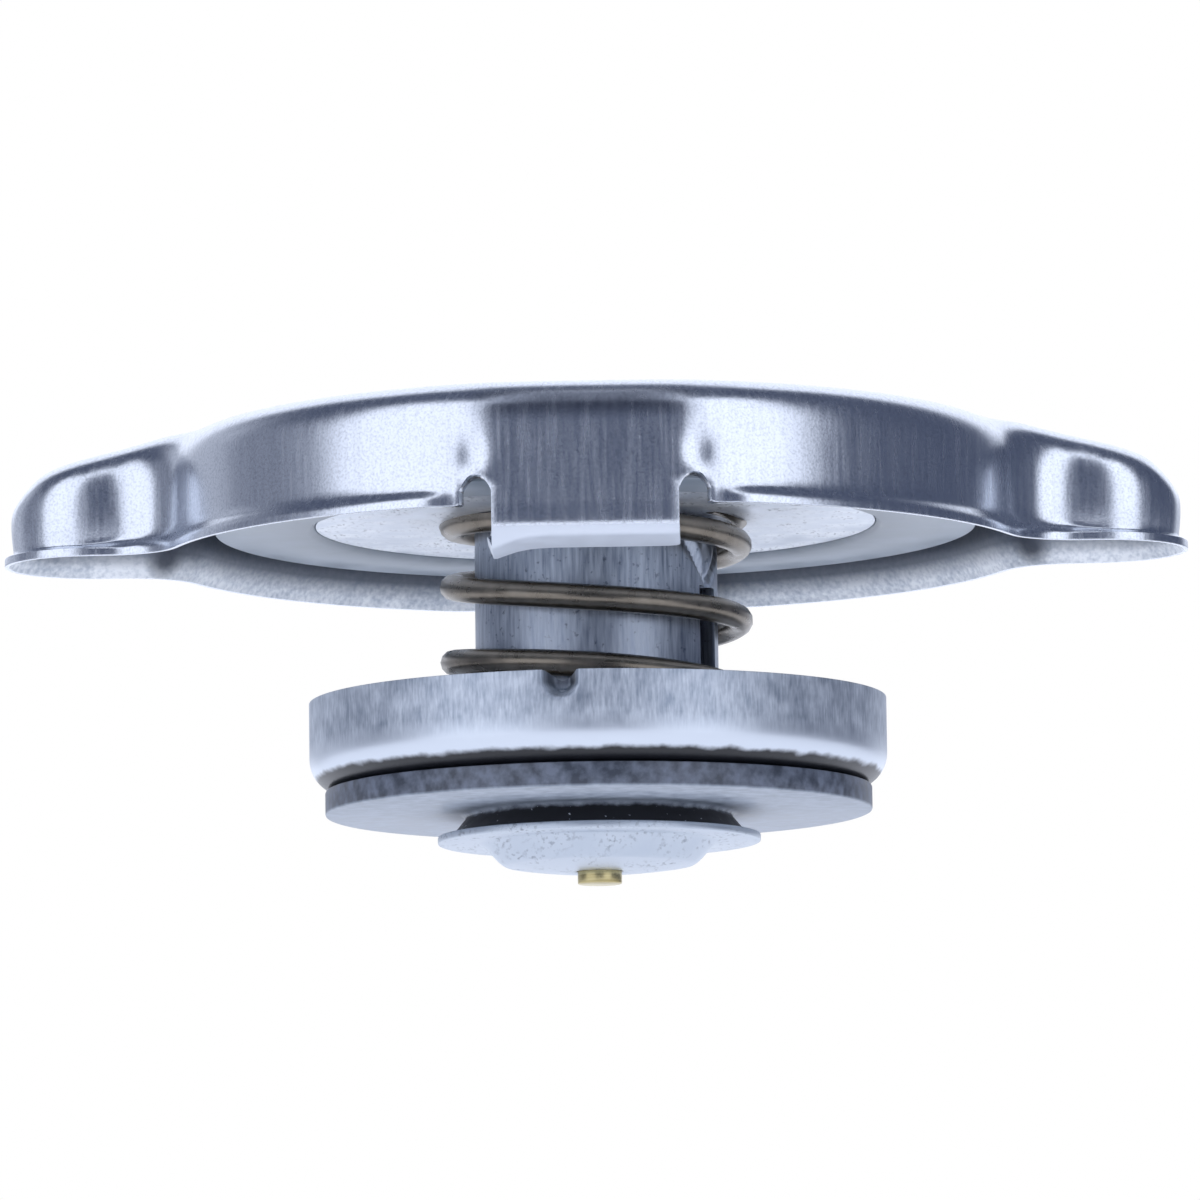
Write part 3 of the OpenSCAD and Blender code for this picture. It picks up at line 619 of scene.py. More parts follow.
# The lip is dark rubber; the dark that the noise smears from it onto the underside is painted shadow.
smear = add_node(tree, "MapRange", {"Value": mottle, "To Min": -SMEAR * MM, "To Max": SMEAR * MM})
smeared_height = add_node(tree, "Math", {0: place.outputs["Z"], 1: smear}, operation="ADD")
dark_lip_and_painted_shadow = add_node(tree, "MapRange", {
    "Value": smeared_height, "From Min": (UNDERSIDE_Z - 0.1) * MM, "From Max": (UNDERSIDE_Z - 0.4) * MM,
})
colour = add_node(tree, "Mix", {
    0: dark_lip_and_painted_shadow, MIX_A: side_and_pale_underside.outputs[MIX_OUT], MIX_B: lip.outputs[MIX_OUT],
}, data_type="RGBA")
dullness = add_node(tree, "MapRange", {
    "Value": mottle, "From Min": 0.3, "From Max": 0.7, "To Min": 0.34, "To Max": 0.5,
})
bump = add_node(tree, "Bump", {"Strength": 0.4, "Distance": 0.03 * MM, "Height": mottle})
shader = add_node(tree, "BsdfPrincipled", {
    "Base Color": colour.outputs[MIX_OUT], "Roughness": dullness, "Normal": bump,
})
add_node(tree, "OutputMaterial", {"Surface": shader})
print(gasket_rubber.name, "nodes:", len(tree.nodes))

# %% [markdown]
# ### Turned brass
# The pin is turned from bar and headed over, so rings run round it. A noise squashed along the axis gives
# rings without a seam.

# %% Turned brass
turned_brass, tree, coords = start_finish("turned_brass")
stretched = add_node(tree, "Mapping", {"Vector": coords, "Scale": (per_mm(4), per_mm(4), per_mm(0.2))})
rings = add_node(tree, "TexNoise", {"Vector": stretched, "Scale": 1, "Detail": 3})
ringed = add_node(tree, "MapRange", {"Value": rings, "From Min": 0.35, "From Max": 0.65})
colour = add_node(tree, "Mix", {
    0: ringed, MIX_A: linear("A99A6C"), MIX_B: linear("D0C394"),
}, data_type="RGBA")
bump = add_node(tree, "Bump", {"Strength": 0.4, "Distance": 0.01 * MM, "Height": rings})
shader = add_node(tree, "BsdfPrincipled", {
    "Base Color": colour.outputs[MIX_OUT], "Metallic": 1, "Roughness": 0.3, "Normal": bump,
})
add_node(tree, "OutputMaterial", {"Surface": shader})
print(turned_brass.name, "nodes:", len(tree.nodes))

# %% [markdown]
# ## Shell
# The shell is the hardest piece: one sheet whose round skirt runs out into two hollow ears with hollow
# roots, with a flat and a folded tang front and back. A tube of plain rings is extruded first, with a column
# of points for each feature of the plan. Then every point gets its place from a formula, the notches are cut
# by deleting faces, and the tangs are extruded from the rim. Joining separate ears to a turned skirt would
# leave seams where the real sheet has none. The sheet gets its thickness last, so inside and outside run
# parallel down to the hem, which is trimmed thin.

# %% Shell sizes
EAR_SPAN = 80.6
EAR_R = 6.3
EAR_ROOT_R = 5.0
EAR_FALL = 1.9
EAR_END_FALL = 1.5
EAR_DOME_R = 3.8
EAR_TIP_POWER = 2.5
EAR_FLANK_POWER = 3.2
EAR_BELLY = 0.3
EAR_BELLY_IN = 0.45
RIM_R = 29.75
RIM_Z = -2.0
SHEET_T = 0.9
SKIRT_H = 8.4
SHOULDER_R = 2.6
RIM_FLARE = 0.6
SKIRT_HEM = (0.3, 1.5)
EAR_HEM = (0.5, 0.85)
EDGE_T = 0.3
BELL_H = 1.9
HEM_RUN_OUT = 2.5
CROWN_RISE = 0.4
WELL_R = 13.5
WELL_FLOOR_R = 9.5
WELL_FLOOR_Z = 2.7
RIVET_BORE_R = 3.05
FLAT_HALF_LOW = 6.9
FLAT_HALF_HIGH = 5.4
CREASE_LOW = 0.15
CREASE_HIGH = 0.5
TANG_HALF = 6.1
TANG_DROP = 1.1
BEND_R = 0.94
LIP_REACH = 3.6
LIP_SLOPE = radians(4)
LEAD_IN_L = 1.9
LEAD_IN_DROP = 0.8
NOTCH_W = 2.1

tip_x = EAR_SPAN / 2 - EAR_R
root_y = EAR_R + EAR_ROOT_R
root_x = sqrt((RIM_R + EAR_ROOT_R) ** 2 - root_y ** 2)
root_a = atan2(root_y, root_x)
notch_mid = TANG_HALF + NOTCH_W / 2
notch_out = TANG_HALF + NOTCH_W
tang_out = sqrt(RIM_R ** 2 - FLAT_HALF_LOW ** 2) - RIM_FLARE
print("ear tips centred at", round(tip_x, 2), "mm, roots at", round(root_x, 2), round(root_y, 2))

# %% Columns round the shell
TIP_STEPS, ROOT_STEPS, MAIN_STEPS = 9, 9, 13
FLAT_COLUMNS = (9.6, 8.8, notch_out, 7.675, notch_mid, 6.625, TANG_HALF, 4.6, 3.0, 1.5, 0.0)
main_end = acos(FLAT_COLUMNS[0] / RIM_R)

quarter = [("tip", i / TIP_STEPS) for i in range(TIP_STEPS + 1)]
quarter += [("root", i / ROOT_STEPS) for i in range(ROOT_STEPS + 1)]
quarter += [("main", i / MAIN_STEPS) for i in range(1, MAIN_STEPS)]
quarter += [("flat", x) for x in FLAT_COLUMNS]
QUARTER = len(quarter) - 1
COLUMNS = 4 * QUARTER


def column_at(i):
    """The column's kind and value, and the signs that put it in its quarter."""
    turned = -1 if i >= 2 * QUARTER else 1
    m = i % (2 * QUARTER)
    if m <= QUARTER:
        return quarter[m], turned, turned
    return quarter[2 * QUARTER - m], -turned, turned


def flat_y(x, d, h):
    """The skirt near a flat: the lower of the round wall and the flat, with a soft crease between them."""
    up = min(1, h / SKIRT_H)
    half = mix(FLAT_HALF_LOW, FLAT_HALF_HIGH, up)
    round_y = sqrt((RIM_R - d) ** 2 - x * x)
    flat = sqrt(RIM_R ** 2 - half ** 2) - d
    crease = mix(CREASE_LOW, CREASE_HIGH, up)
    blend = max(crease - abs(round_y - flat), 0) / crease
    return min(round_y, flat) - blend * blend * crease / 4


def plan_point(column, d, d_ear, h):
    kind, value = column
    if kind == "tip":
        a = value * pi / 2
        return tip_x + (EAR_R - d_ear) * cos(a), (EAR_R - d_ear) * sin(a), 1
    if kind == "root":
        a = mix(1.5 * pi, pi + root_a, value)
        r = EAR_ROOT_R + mix(d_ear, d, smooth_step(value))
        return root_x + r * cos(a), root_y + r * sin(a), 1 - smooth_step(value)
    if kind == "main":
        a = mix(root_a, main_end, value)
        return (RIM_R - d) * cos(a), (RIM_R - d) * sin(a), 0
    return value, flat_y(value, d, h), 0


fall_start = RIM_R - RIM_FLARE
fall_end = EAR_SPAN / 2 - SHOULDER_R - RIM_FLARE


def fall(r):
    """Share of the full height at radius r: the ears fall towards their tips."""
    slope = EAR_FALL * max(0, (r - fall_start) / (fall_end - fall_start))
    end = EAR_END_FALL * max(0, (r - fall_end) / (EAR_SPAN / 2 - fall_end)) ** 2
    return 1 - (slope + end) / SKIRT_H


print("columns in a quarter:", QUARTER)

# %% Rows up the shell
HEM_ROWS = (0, 0.25, 0.45, 0.6, 0.75, 0.9)
NOTCH_ROW_H = NOTCH_W / 2
WALL_ROWS = (2.45, 3.0, 3.7, 4.4, 5.1)
SHOULDER_STEPS, CROWN_STEPS, WELL_STEPS = 7, 7, 9
BORE_RING = 1.5
PUCKER_DEPTH, PUCKER_ASIDE, PUCKER_HALF_W = 0.22, 0.2, 0.8
PUCKER_UP, PUCKER_HALF_H = 3.3, 1.1
# Shares of an ear's height for the rows from the notches to the shoulder's top, closer where it turns over.
EAR_SHARES = (0, 0.08, 0.16, 0.25, 0.35, 0.46, 0.57, 0.67, 0.76, 0.84, 0.91, 0.955, 0.985, 1)
crown_r = (WELL_R + RIM_R - RIM_FLARE - SHOULDER_R) / 2
crown_z = RIM_Z + SKIRT_H + CROWN_RISE

NOTCH_ROW = len(HEM_ROWS)
skirt_rows = [("wall", h) for h in (NOTCH_ROW_H,) + WALL_ROWS]
skirt_rows += [("shoulder", i / SHOULDER_STEPS) for i in range(SHOULDER_STEPS + 1)]
rows = [("wall", h, 0) for h in HEM_ROWS]
rows += [(kind, value, share) for (kind, value), share in zip(skirt_rows, EAR_SHARES, strict=True)]
rows += [("crown", i / CROWN_STEPS, 1) for i in range(1, CROWN_STEPS + 1)]
rows += [("well", i / WELL_STEPS, 1) for i in range(WELL_STEPS + 1)]
rows += [("floor", RIVET_BORE_R + BORE_RING, 1), ("floor", RIVET_BORE_R, 1)]


def pucker(column, h):
    """The sheet sinks a little above each notch, where the punch drew it in."""
    if column[0] != "flat":
        return 0
    aside = (column[1] - notch_mid - PUCKER_ASIDE) / PUCKER_HALF_W
    return PUCKER_DEPTH * exp(-aside ** 2 - ((h - PUCKER_UP) / PUCKER_HALF_H) ** 2)


def ear_dome(column, share):
    """How far in an ear's wall is at a share of its height: tucked in low, then domed over to the top."""
    if share < EAR_BELLY:
        return mix(EAR_BELLY_IN, RIM_FLARE, (1 - share / EAR_BELLY) ** 2)
    t = (share - EAR_BELLY) / (1 - EAR_BELLY)
    power = mix(EAR_TIP_POWER, EAR_FLANK_POWER, column[1] if column[0] == "tip" else 1)
    return EAR_BELLY_IN + EAR_DOME_R * (1 - (1 - t ** power) ** (1 / power))


def skirt_point(column, kind, value, share):
    if kind == "wall":
        h = value
        d = RIM_FLARE + pucker(column, h)
        h_ear = h if h < NOTCH_ROW_H else mix(NOTCH_ROW_H, SKIRT_H, share)
        if column[0] == "flat" and h == NOTCH_ROW_H and TANG_HALF < column[1] < notch_out:
            h += sqrt(NOTCH_ROW_H ** 2 - (column[1] - notch_mid) ** 2)
    else:
        a = value * pi / 2
        h = SKIRT_H - SHOULDER_R * (1 - sin(a))
        d = RIM_FLARE + SHOULDER_R * (1 - cos(a)) + pucker(column, h)
        h_ear = mix(NOTCH_ROW_H, SKIRT_H, share)
    x, y, ear = plan_point(column, d, ear_dome(column, share), h)
    height = mix(h, h_ear, ear)
    return x, y, RIM_Z + height * mix(1, fall(hypot(x, y)), smooth_step(height / SKIRT_H))


def shell_point(column, kind, value, share):
    if kind in ("wall", "shoulder"):
        return skirt_point(column, kind, value, share)
    x, y, _ = skirt_point(column, "shoulder", 1, 1)
    rho = hypot(x, y)
    if kind == "crown":
        t = smooth_step(value)
        r = mix(rho, crown_r, t)
        z = RIM_Z + SKIRT_H * fall(r) + CROWN_RISE * t
    elif kind == "well":
        r = mix(WELL_R, WELL_FLOOR_R, value)
        z = mix(crown_z, WELL_FLOOR_Z, smooth_step(value))
    else:
        r = value
        z = WELL_FLOOR_Z
    return x * r / rho, y * r / rho, z


print("rows up the shell:", len(rows))

# %% Tang below the rim
TANG_WALL_STEPS, BEND_STEPS, LIP_STEPS = 2, 5, 4
bend_z = RIM_Z - TANG_DROP
tang_path = [(tang_out, mix(RIM_Z, bend_z, i / TANG_WALL_STEPS)) for i in range(1, TANG_WALL_STEPS + 1)]
tang_path += arc(tang_out - BEND_R, bend_z, BEND_R, 0, degrees(LIP_SLOPE) - 90, BEND_STEPS)[1:]
lip_y, lip_z = tang_path[-1]
tang_path += [
    (lip_y - LIP_REACH * cos(LIP_SLOPE) * i / LIP_STEPS, lip_z - LIP_REACH * sin(LIP_SLOPE) * i / LIP_STEPS)
    for i in range(1, LIP_STEPS + 1)
]


def tang_point(x_sign, y_sign, x, step):
    """A point of a tang; the corner that meets the neck's cam first is turned down."""
    y, z = tang_path[step]
    turned_in = max(0, step - TANG_WALL_STEPS) / (len(tang_path) - 1 - TANG_WALL_STEPS)
    past = x * x_sign * y_sign - (TANG_HALF - LEAD_IN_L)
    drop = LEAD_IN_DROP * smooth_step(2 * turned_in) * max(0, past) / LEAD_IN_L
    return x * x_sign, y * y_sign, z - drop


print("tang's lip ends at", [round(size, 2) for size in tang_path[-1]], "mm")

# %% Build the shell
bpy.ops.object.select_all(action="DESELECT")
bpy.ops.mesh.primitive_circle_add(vertices=COLUMNS, radius=RIM_R * MM)
shell = bpy.context.object
shell.name = "pressed_shell"
bpy.ops.object.mode_set(mode="EDIT")
bpy.ops.mesh.select_all(action="SELECT")
for _ in rows[1:]:
    bpy.ops.mesh.extrude_region_move(TRANSFORM_OT_translate={"value": (0, 0, MM)})
bpy.ops.object.mode_set(mode="OBJECT")


def address(co):
    """The column and the row of a point of the plain tube; rows of a tang are negative."""
    i = round(atan2(co.y, co.x) / tau * COLUMNS + first_column) % COLUMNS
    return i, round(co.z / MM)


first = shell.data.vertices[0].co
first_column = -atan2(first.y, first.x) / tau * COLUMNS


def is_flat_between(i, low, high):
    (kind, value), _, _ = column_at(i)
    return kind == "flat" and low - WELD <= value <= high + WELD


# The notches are the faces between the tang's edge and the notch's outer edge, below the notch row.
bpy.ops.object.mode_set(mode="EDIT")
bpy.ops.mesh.select_all(action="DESELECT")
bpy.ops.mesh.select_mode(type="FACE")
bpy.ops.object.mode_set(mode="OBJECT")
for face in shell.data.polygons:
    corners = [address(shell.data.vertices[v].co) for v in face.vertices]
    in_notch = all(is_flat_between(i, TANG_HALF, notch_out) for i, k in corners)
    face.select = in_notch and max(k for i, k in corners) <= NOTCH_ROW
bpy.ops.object.mode_set(mode="EDIT")
bpy.ops.mesh.delete(type="FACE")

# The tangs are drawn down from the rim's edges between the notches.
bpy.ops.mesh.select_mode(type="EDGE")
bpy.ops.mesh.select_all(action="DESELECT")
bpy.ops.object.mode_set(mode="OBJECT")
for edge in shell.data.edges:
    ends = [address(shell.data.vertices[v].co) for v in edge.vertices]
    edge.select = all(k == 0 and is_flat_between(i, 0, TANG_HALF) for i, k in ends)
bpy.ops.object.mode_set(mode="EDIT")
for _ in tang_path:
    bpy.ops.mesh.extrude_region_move(TRANSFORM_OT_translate={"value": (0, 0, -MM)})
bpy.ops.object.mode_set(mode="OBJECT")

for vertex in shell.data.vertices:
    i, k = address(vertex.co)
    column, x_sign, y_sign = column_at(i)
    if k < 0:
        vertex.co = Vector(tang_point(x_sign, y_sign, column[1], -k - 1)) * MM
    else:
        x, y, z = shell_point(column, *rows[k])
        vertex.co = Vector((x * x_sign, y * y_sign, z)) * MM
bpy.ops.object.mode_set(mode="EDIT")
bpy.ops.mesh.select_all(action="SELECT")
bpy.ops.mesh.normals_make_consistent(inside=False)
bpy.ops.object.mode_set(mode="OBJECT")
print("shell points before its thickness:", len(shell.data.vertices))

# %% Give the sheet its thickness
EDGE_BEVEL = 0.08
LIP_FACING = -0.25
for finish in (bright_steel, dull_zinc, painted_pale_lip):
    shell.data.materials.append(finish)
apply_modifier(shell, "SUBSURF", levels=1, render_levels=1)
outer_count = len(shell.data.vertices)
apply_modifier(
    shell, "SOLIDIFY", thickness=SHEET_T * MM, offset=-1, use_even_offset=True,
    material_offset=1, material_offset_rim=0)

# The hem: where the press trimmed the rim, the outside was left standing out in a narrow band, and the
# inside opens like a bell, so the cut edge is thin.
sideways = [Vector((v.normal.x, v.normal.y, 0)).normalized() for v in shell.data.vertices]
for i in range(outer_count):
    outer, inner = shell.data.vertices[i], shell.data.vertices[outer_count + i]
    x, y, z = outer.co / MM
    h = z - RIM_Z
    if -WELD / MM <= h < BELL_H:
        on_ear = smooth_step((abs(x) - RIM_R) / EAR_ROOT_R)
        hem_flat, hem_h = (mix(skirt, ear, on_ear) for skirt, ear in zip(SKIRT_HEM, EAR_HEM))
        beside_tang = abs(y) > tang_out - LIP_REACH
        kept = smooth_step((abs(x) - notch_out) / HEM_RUN_OUT) if beside_tang else 1
        rise = RIM_FLARE * (1 - smooth_step((h - hem_flat) / (hem_h - hem_flat)))
        bell = (RIM_FLARE + SHEET_T - EDGE_T) * (1 - h / BELL_H)
        outer.co += sideways[i] * kept * rise * MM
        inner.co += sideways[i] * kept * bell * MM
apply_modifier(
    shell, "BEVEL", width=EDGE_BEVEL * MM, segments=2, limit_method="ANGLE", angle_limit=radians(50))
# The lip's faces that look down take the pale lip finish: painted light from below.
for face in shell.data.polygons:
    if face.center.z < (RIM_Z - TANG_DROP) * MM and face.normal.z < LIP_FACING:
        face.material_index = 2
bpy.ops.object.shade_smooth_by_angle(angle=radians(40))
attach(shell, "cap")
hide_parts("shell")
print("shell faces:", len(shell.data.polygons))

# %% [markdown]
# ## Rivet and washer
# On top, the well holds a washer and the round head of the rivet on which the shell turns. The rivet goes
# down through the stack and is spread inside the stem. A ball cut in half would make a head too high, so the
# head is an arc in a turned section, and shank and spread end are turned with it.

# %% Rivet and washer
RIVET_R, RIVET_HEAD_R, RIVET_HEAD_H = 3.0, 5.5, 1.6
CLINCH_R, CLINCH_H = 5.2, 1.3
WASHER_R, WASHER_Z, HEAD_Z = 7.0, 2.8, 3.4
CLINCH_Z = -0.45

dome_r = (RIVET_HEAD_R ** 2 + RIVET_HEAD_H ** 2) / (2 * RIVET_HEAD_H)
dome_a = degrees(asin(RIVET_HEAD_R / dome_r))
rivet = lathe("crown_rivet_head", [
    (0, CLINCH_Z - CLINCH_H),
    (RIVET_R, CLINCH_Z - CLINCH_H),
    (CLINCH_R, CLINCH_Z),
    (RIVET_R, CLINCH_Z),
    (RIVET_R, HEAD_Z),
] + arc(0, HEAD_Z + RIVET_HEAD_H - dome_r, dome_r, 90 - dome_a, 90, 12), 96)
finish_piece(rivet, "stem", [zinc_plate], ["crown_rivet"], bevel=0.08)

washer = lathe("crown_washer_ring", [
    (RIVET_BORE_R, WASHER_Z), (WASHER_R, WASHER_Z), (WASHER_R, HEAD_Z), (RIVET_BORE_R, HEAD_Z),
], 96)
finish_piece(washer, "stem", [zinc_plate], ["crown_washer"], bevel=0.12)

# %% [markdown]
# ## Upper seal and seal plate
# Looking up under the crown, a broad grey rubber ring lies against it. A pale plate holds the ring's thin
# web, and the spring pushes on the plate. Both are plain rings, so they are spun, with enough steps for a
# smooth edge close to the lens and a chamfer where the rubber meets the plate.

# %% Upper seal and seal plate
SEAL_R, SEAL_T, SEAL_WEB_Z, SEAL_WEB_R = 25.9, 1.2, 0.85, 11.0
PLATE_R, PLATE_Z = 19.05, 0.35
PUSH_GAP = 0.05
SEAL_EDGE = 0.5

upper_seal = lathe("upper_seal_ring", [
    (PLATE_R + PUSH_GAP + SEAL_EDGE, 0),
    (SEAL_R, 0),
    (SEAL_R, SEAL_T),
    (SEAL_WEB_R, SEAL_T),
    (SEAL_WEB_R, SEAL_WEB_Z),
    (PLATE_R + PUSH_GAP, SEAL_WEB_Z),
    (PLATE_R + PUSH_GAP, PLATE_Z),
], 256)
finish_piece(upper_seal, "stem", [seal_rubber], ["upper_seal"], bevel=0.08)

seal_plate = lathe("seal_plate_disc", [
    (RIVET_BORE_R, PLATE_Z), (PLATE_R, PLATE_Z), (PLATE_R, SEAL_WEB_Z), (RIVET_BORE_R, SEAL_WEB_Z),
], 256)
finish_piece(seal_plate, "stem", [zinc_plate], ["seal_plate"], bevel=0.06)

# %% [markdown]
# ## Stem
# The stem is a drawn thimble. Two slots part its legs, and a foot at the bottom holds the valve up. Where a
# slot ends, the wall has buckled into a small fold. The thimble is spun with many rings, so that the fold
# can be pushed into the wall, and a box then cuts both slots at once.

# %% Stem
STEM_R, STEM_T, STEM_TOP_Z = 8.25, 0.8, 0.35
FOOT_R, FOOT_Z, FOOT_T = 9.8, -13.65, 0.7
SLOT_W, SLOT_TOP_Z, SLOT_ANGLE = 2.5, -4.4, radians(67.8)
STEM_RINGS = 40

stem_in = STEM_R - STEM_T
foot_low = FOOT_Z - FOOT_T
wall_z = [mix(STEM_TOP_Z - STEM_T, FOOT_Z, i / STEM_RINGS) for i in range(1, STEM_RINGS + 1)]
inner_z = [mix(foot_low + FOOT_T, CLINCH_Z, i / STEM_RINGS) for i in range(1, STEM_RINGS + 1)]
stem = lathe("drawn_stem", (
    [(RIVET_BORE_R, CLINCH_Z), (RIVET_BORE_R, STEM_TOP_Z)]
    + arc(stem_in, STEM_TOP_Z - STEM_T, STEM_T, 90, 0, 8)
    + [(STEM_R, z) for z in wall_z]
    + [(FOOT_R, FOOT_Z), (FOOT_R, foot_low)]
    + arc(stem_in + FOOT_T, foot_low + FOOT_T, FOOT_T, 270, 180, 8)
    + [(stem_in, z) for z in inner_z]
), 480)

# The fold: three creases in the wall above a slot run together at the slot's top.
FOLD_TOP_Z, FOLD_SPREAD, FOLD_DEPTH = -1.5, radians(17), 0.42
FOLD_FROM, FOLD_TO, FOLD_FADE = -0.15, 1.4, 0.5
CREASE_HALF, CREASE_GROWTH = 1.8, 2.2
CUT_CLEAR = 2
for vertex in stem.data.vertices:
    x, y, z = vertex.co / MM
    up = (z - SLOT_TOP_Z) / (FOLD_TOP_Z - SLOT_TOP_Z)
    if not FOLD_FROM < up < FOLD_TO or hypot(x, y) < stem_in - PUSH_GAP:
        continue
    sink = 0
    for side in (0, pi):
        away = (atan2(x, -y) - SLOT_ANGLE - side + pi) % tau - pi
        for crease in (-1, 0, 1):
            half = radians(CREASE_HALF + CREASE_GROWTH * max(0, up))
            sink += exp(-((away - crease * FOLD_SPREAD * up) / half) ** 2)
    sink *= FOLD_DEPTH * smooth_step((FOLD_TO - up) / FOLD_FADE)
    vertex.co.x *= 1 - sink / STEM_R
    vertex.co.y *= 1 - sink / STEM_R

bpy.ops.object.select_all(action="DESELECT")
bpy.ops.mesh.primitive_cube_add(size=MM)
slot_cutter = bpy.context.object
slot_cutter.scale = (4 * FOOT_R, SLOT_W, SLOT_TOP_Z - foot_low + CUT_CLEAR)
slot_cutter.location = (0, 0, (SLOT_TOP_Z + foot_low - CUT_CLEAR) / 2 * MM)
slot_cutter.rotation_euler = (0, 0, SLOT_ANGLE - pi / 2)
bpy.ops.object.transform_apply(location=True, rotation=True, scale=True)
apply_modifier(stem, "BOOLEAN", operation="DIFFERENCE", object=slot_cutter, solver="EXACT")
bpy.data.objects.remove(slot_cutter)
finish_piece(stem, "stem", [stem_steel], ["stem"], bevel=0.06)

# %% [markdown]
# ## Springs
# Both springs are drawn wire wound left-handed, with closed ends ground flat, so the last turn thins to a
# tail. The wire's centre line is a curve with a round section. It runs past the seats, and the ends are then
# cut off flat as a grinder would. The large coil leans: in the photograph its middle turn is low in front.

# %% Springs
CLOSED_TURNS, RAMP_TURNS, CLOSED_PITCH_RATIO, TAIL_SHARE = 0.6, 0.55, 0.715, 0.125
LEAN_TURN, LEAN_TURNS = 1.6, 0.9


def coil_drop(t, p_closed, p_open):
    past = t - CLOSED_TURNS
    u = min(1, max(0, past / RAMP_TURNS))
    ramped = RAMP_TURNS * (u ** 3 - u ** 4 / 2) + max(0, past - RAMP_TURNS)
    return p_closed * t + (p_open - p_closed) * ramped


def coil_spring(name, mean_r, wire_r, z_top, z_bottom, active, start, per_turn, lean=0):
    p_closed = 2 * wire_r * CLOSED_PITCH_RATIO
    run_out = wire_r * (1 - TAIL_SHARE)
    drop = z_top - z_bottom + 2 * run_out
    p_open = (drop - (2 * CLOSED_TURNS + RAMP_TURNS) * p_closed) / (RAMP_TURNS + active)
    turns = 2 * CLOSED_TURNS + 2 * RAMP_TURNS + active
    count = round(turns * per_turn)
    bpy.ops.object.select_all(action="DESELECT")
    bpy.ops.curve.primitive_nurbs_path_add()
    piece = bpy.context.object
    piece.name = name
    path = piece.data
    path.splines.clear()
    path.dimensions = "3D"
    path.bevel_depth = wire_r * MM
    path.bevel_resolution = 4
    path.use_fill_caps = True
    spline = path.splines.new("POLY")
    spline.points.add(count)
    for i, point in enumerate(spline.points):
        t = turns * i / count
        upper = t < turns / 2
        end_drop = coil_drop(t if upper else turns - t, p_closed, p_open)
        a = tau * (start + t)
        z = z_top + run_out - (end_drop if upper else drop - end_drop)
        z -= lean * cos(a) * exp(-((t - LEAN_TURN) / LEAN_TURNS) ** 2)
        point.co = (*(Vector((mean_r * sin(a), -mean_r * cos(a), z)) * MM), 1)
    bpy.ops.object.convert(target="MESH")
    for z, outside in ((z_top, 1), (z_bottom, -1)):
        bpy.ops.object.mode_set(mode="EDIT")
        bpy.ops.mesh.select_all(action="SELECT")
        bpy.ops.mesh.bisect(
            plane_co=(0, 0, z * MM), plane_no=(0, 0, outside), use_fill=True, clear_outer=True)
        bpy.ops.object.mode_set(mode="OBJECT")
    return piece


SPRING_SEAT_Z = -12.85
pressure_spring = coil_spring(
    "pressure_coil", mean_r=9.775, wire_r=0.875, z_top=PLATE_Z, z_bottom=SPRING_SEAT_Z,
    active=1.865, start=0.15, per_turn=72, lean=0.85)
finish_piece(pressure_spring, "stem", [spring_wire], ["pressure_spring"])
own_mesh(pressure_spring)

RETAINER_Z, BRIDGE_Z = -9.6, -16.35
vacuum_spring = coil_spring(
    "vacuum_coil", mean_r=3.2, wire_r=0.225, z_top=RETAINER_Z, z_bottom=BRIDGE_Z,
    active=3, start=0, per_turn=48)
finish_piece(vacuum_spring, "pressure_valve", [spring_wire], ["vacuum_spring"])
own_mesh(vacuum_spring)

# %% [markdown]
# ## Valve cup
# The cup is drawn with a round lower corner. Three stakes were punched into its rim to hold the spring
# plate, and its neck is spread below to hold the gasket. The cup is spun with rings that crowd towards the
# rim, and the stakes are pushed into them, with the rim dipping over each. Cutting dents with a solid would
# leave the wall uneven.

# %% Valve cup
CUP_R, CUP_T, CUP_RIM_Z, CUP_LOW_Z, CUP_CORNER_R = 19.6, 0.8, -11.75, -17.75, 2.2
NECK_R, NECK_T, NECK_FLARE_R = 7.0, 0.7, 7.5
WEB_Z, FLARE_Z = -18.9, -19.6
CUP_RINGS = 22
RING_CROWDING = 1.4
STAKES = 3
STAKE_ANGLE, STAKE_HALF, STAKE_DOWN, STAKE_DEPTH = radians(-6), 1.0, 0.65, 1.6
STAKE_REACH, STAKE_FADE = 1.3, 0.8
STAKE_DIP, STAKE_DIP_HALF, STAKE_DIP_DOWN = 0.6, 1.2, 1.2

corner_x, corner_z = CUP_R - CUP_CORNER_R, CUP_LOW_Z + CUP_CORNER_R
outer_z = [mix(CUP_RIM_Z, corner_z, (i / CUP_RINGS) ** RING_CROWDING) for i in range(CUP_RINGS)]
valve_cup = lathe("drawn_valve_cup", (
    [(CUP_R, z) for z in outer_z]
    + arc(corner_x, corner_z, CUP_CORNER_R, 0, -90, 10)
    + [(NECK_R, CUP_LOW_Z), (NECK_R, WEB_Z), (NECK_FLARE_R, WEB_Z), (NECK_FLARE_R, FLARE_Z)]
    + [(NECK_R - NECK_T, FLARE_Z), (NECK_R - NECK_T, CUP_LOW_Z + CUP_T)]
    + arc(corner_x, corner_z, CUP_CORNER_R - CUP_T, -90, 0, 8)
    + [(CUP_R - CUP_T, z) for z in reversed(outer_z)]
), 640)

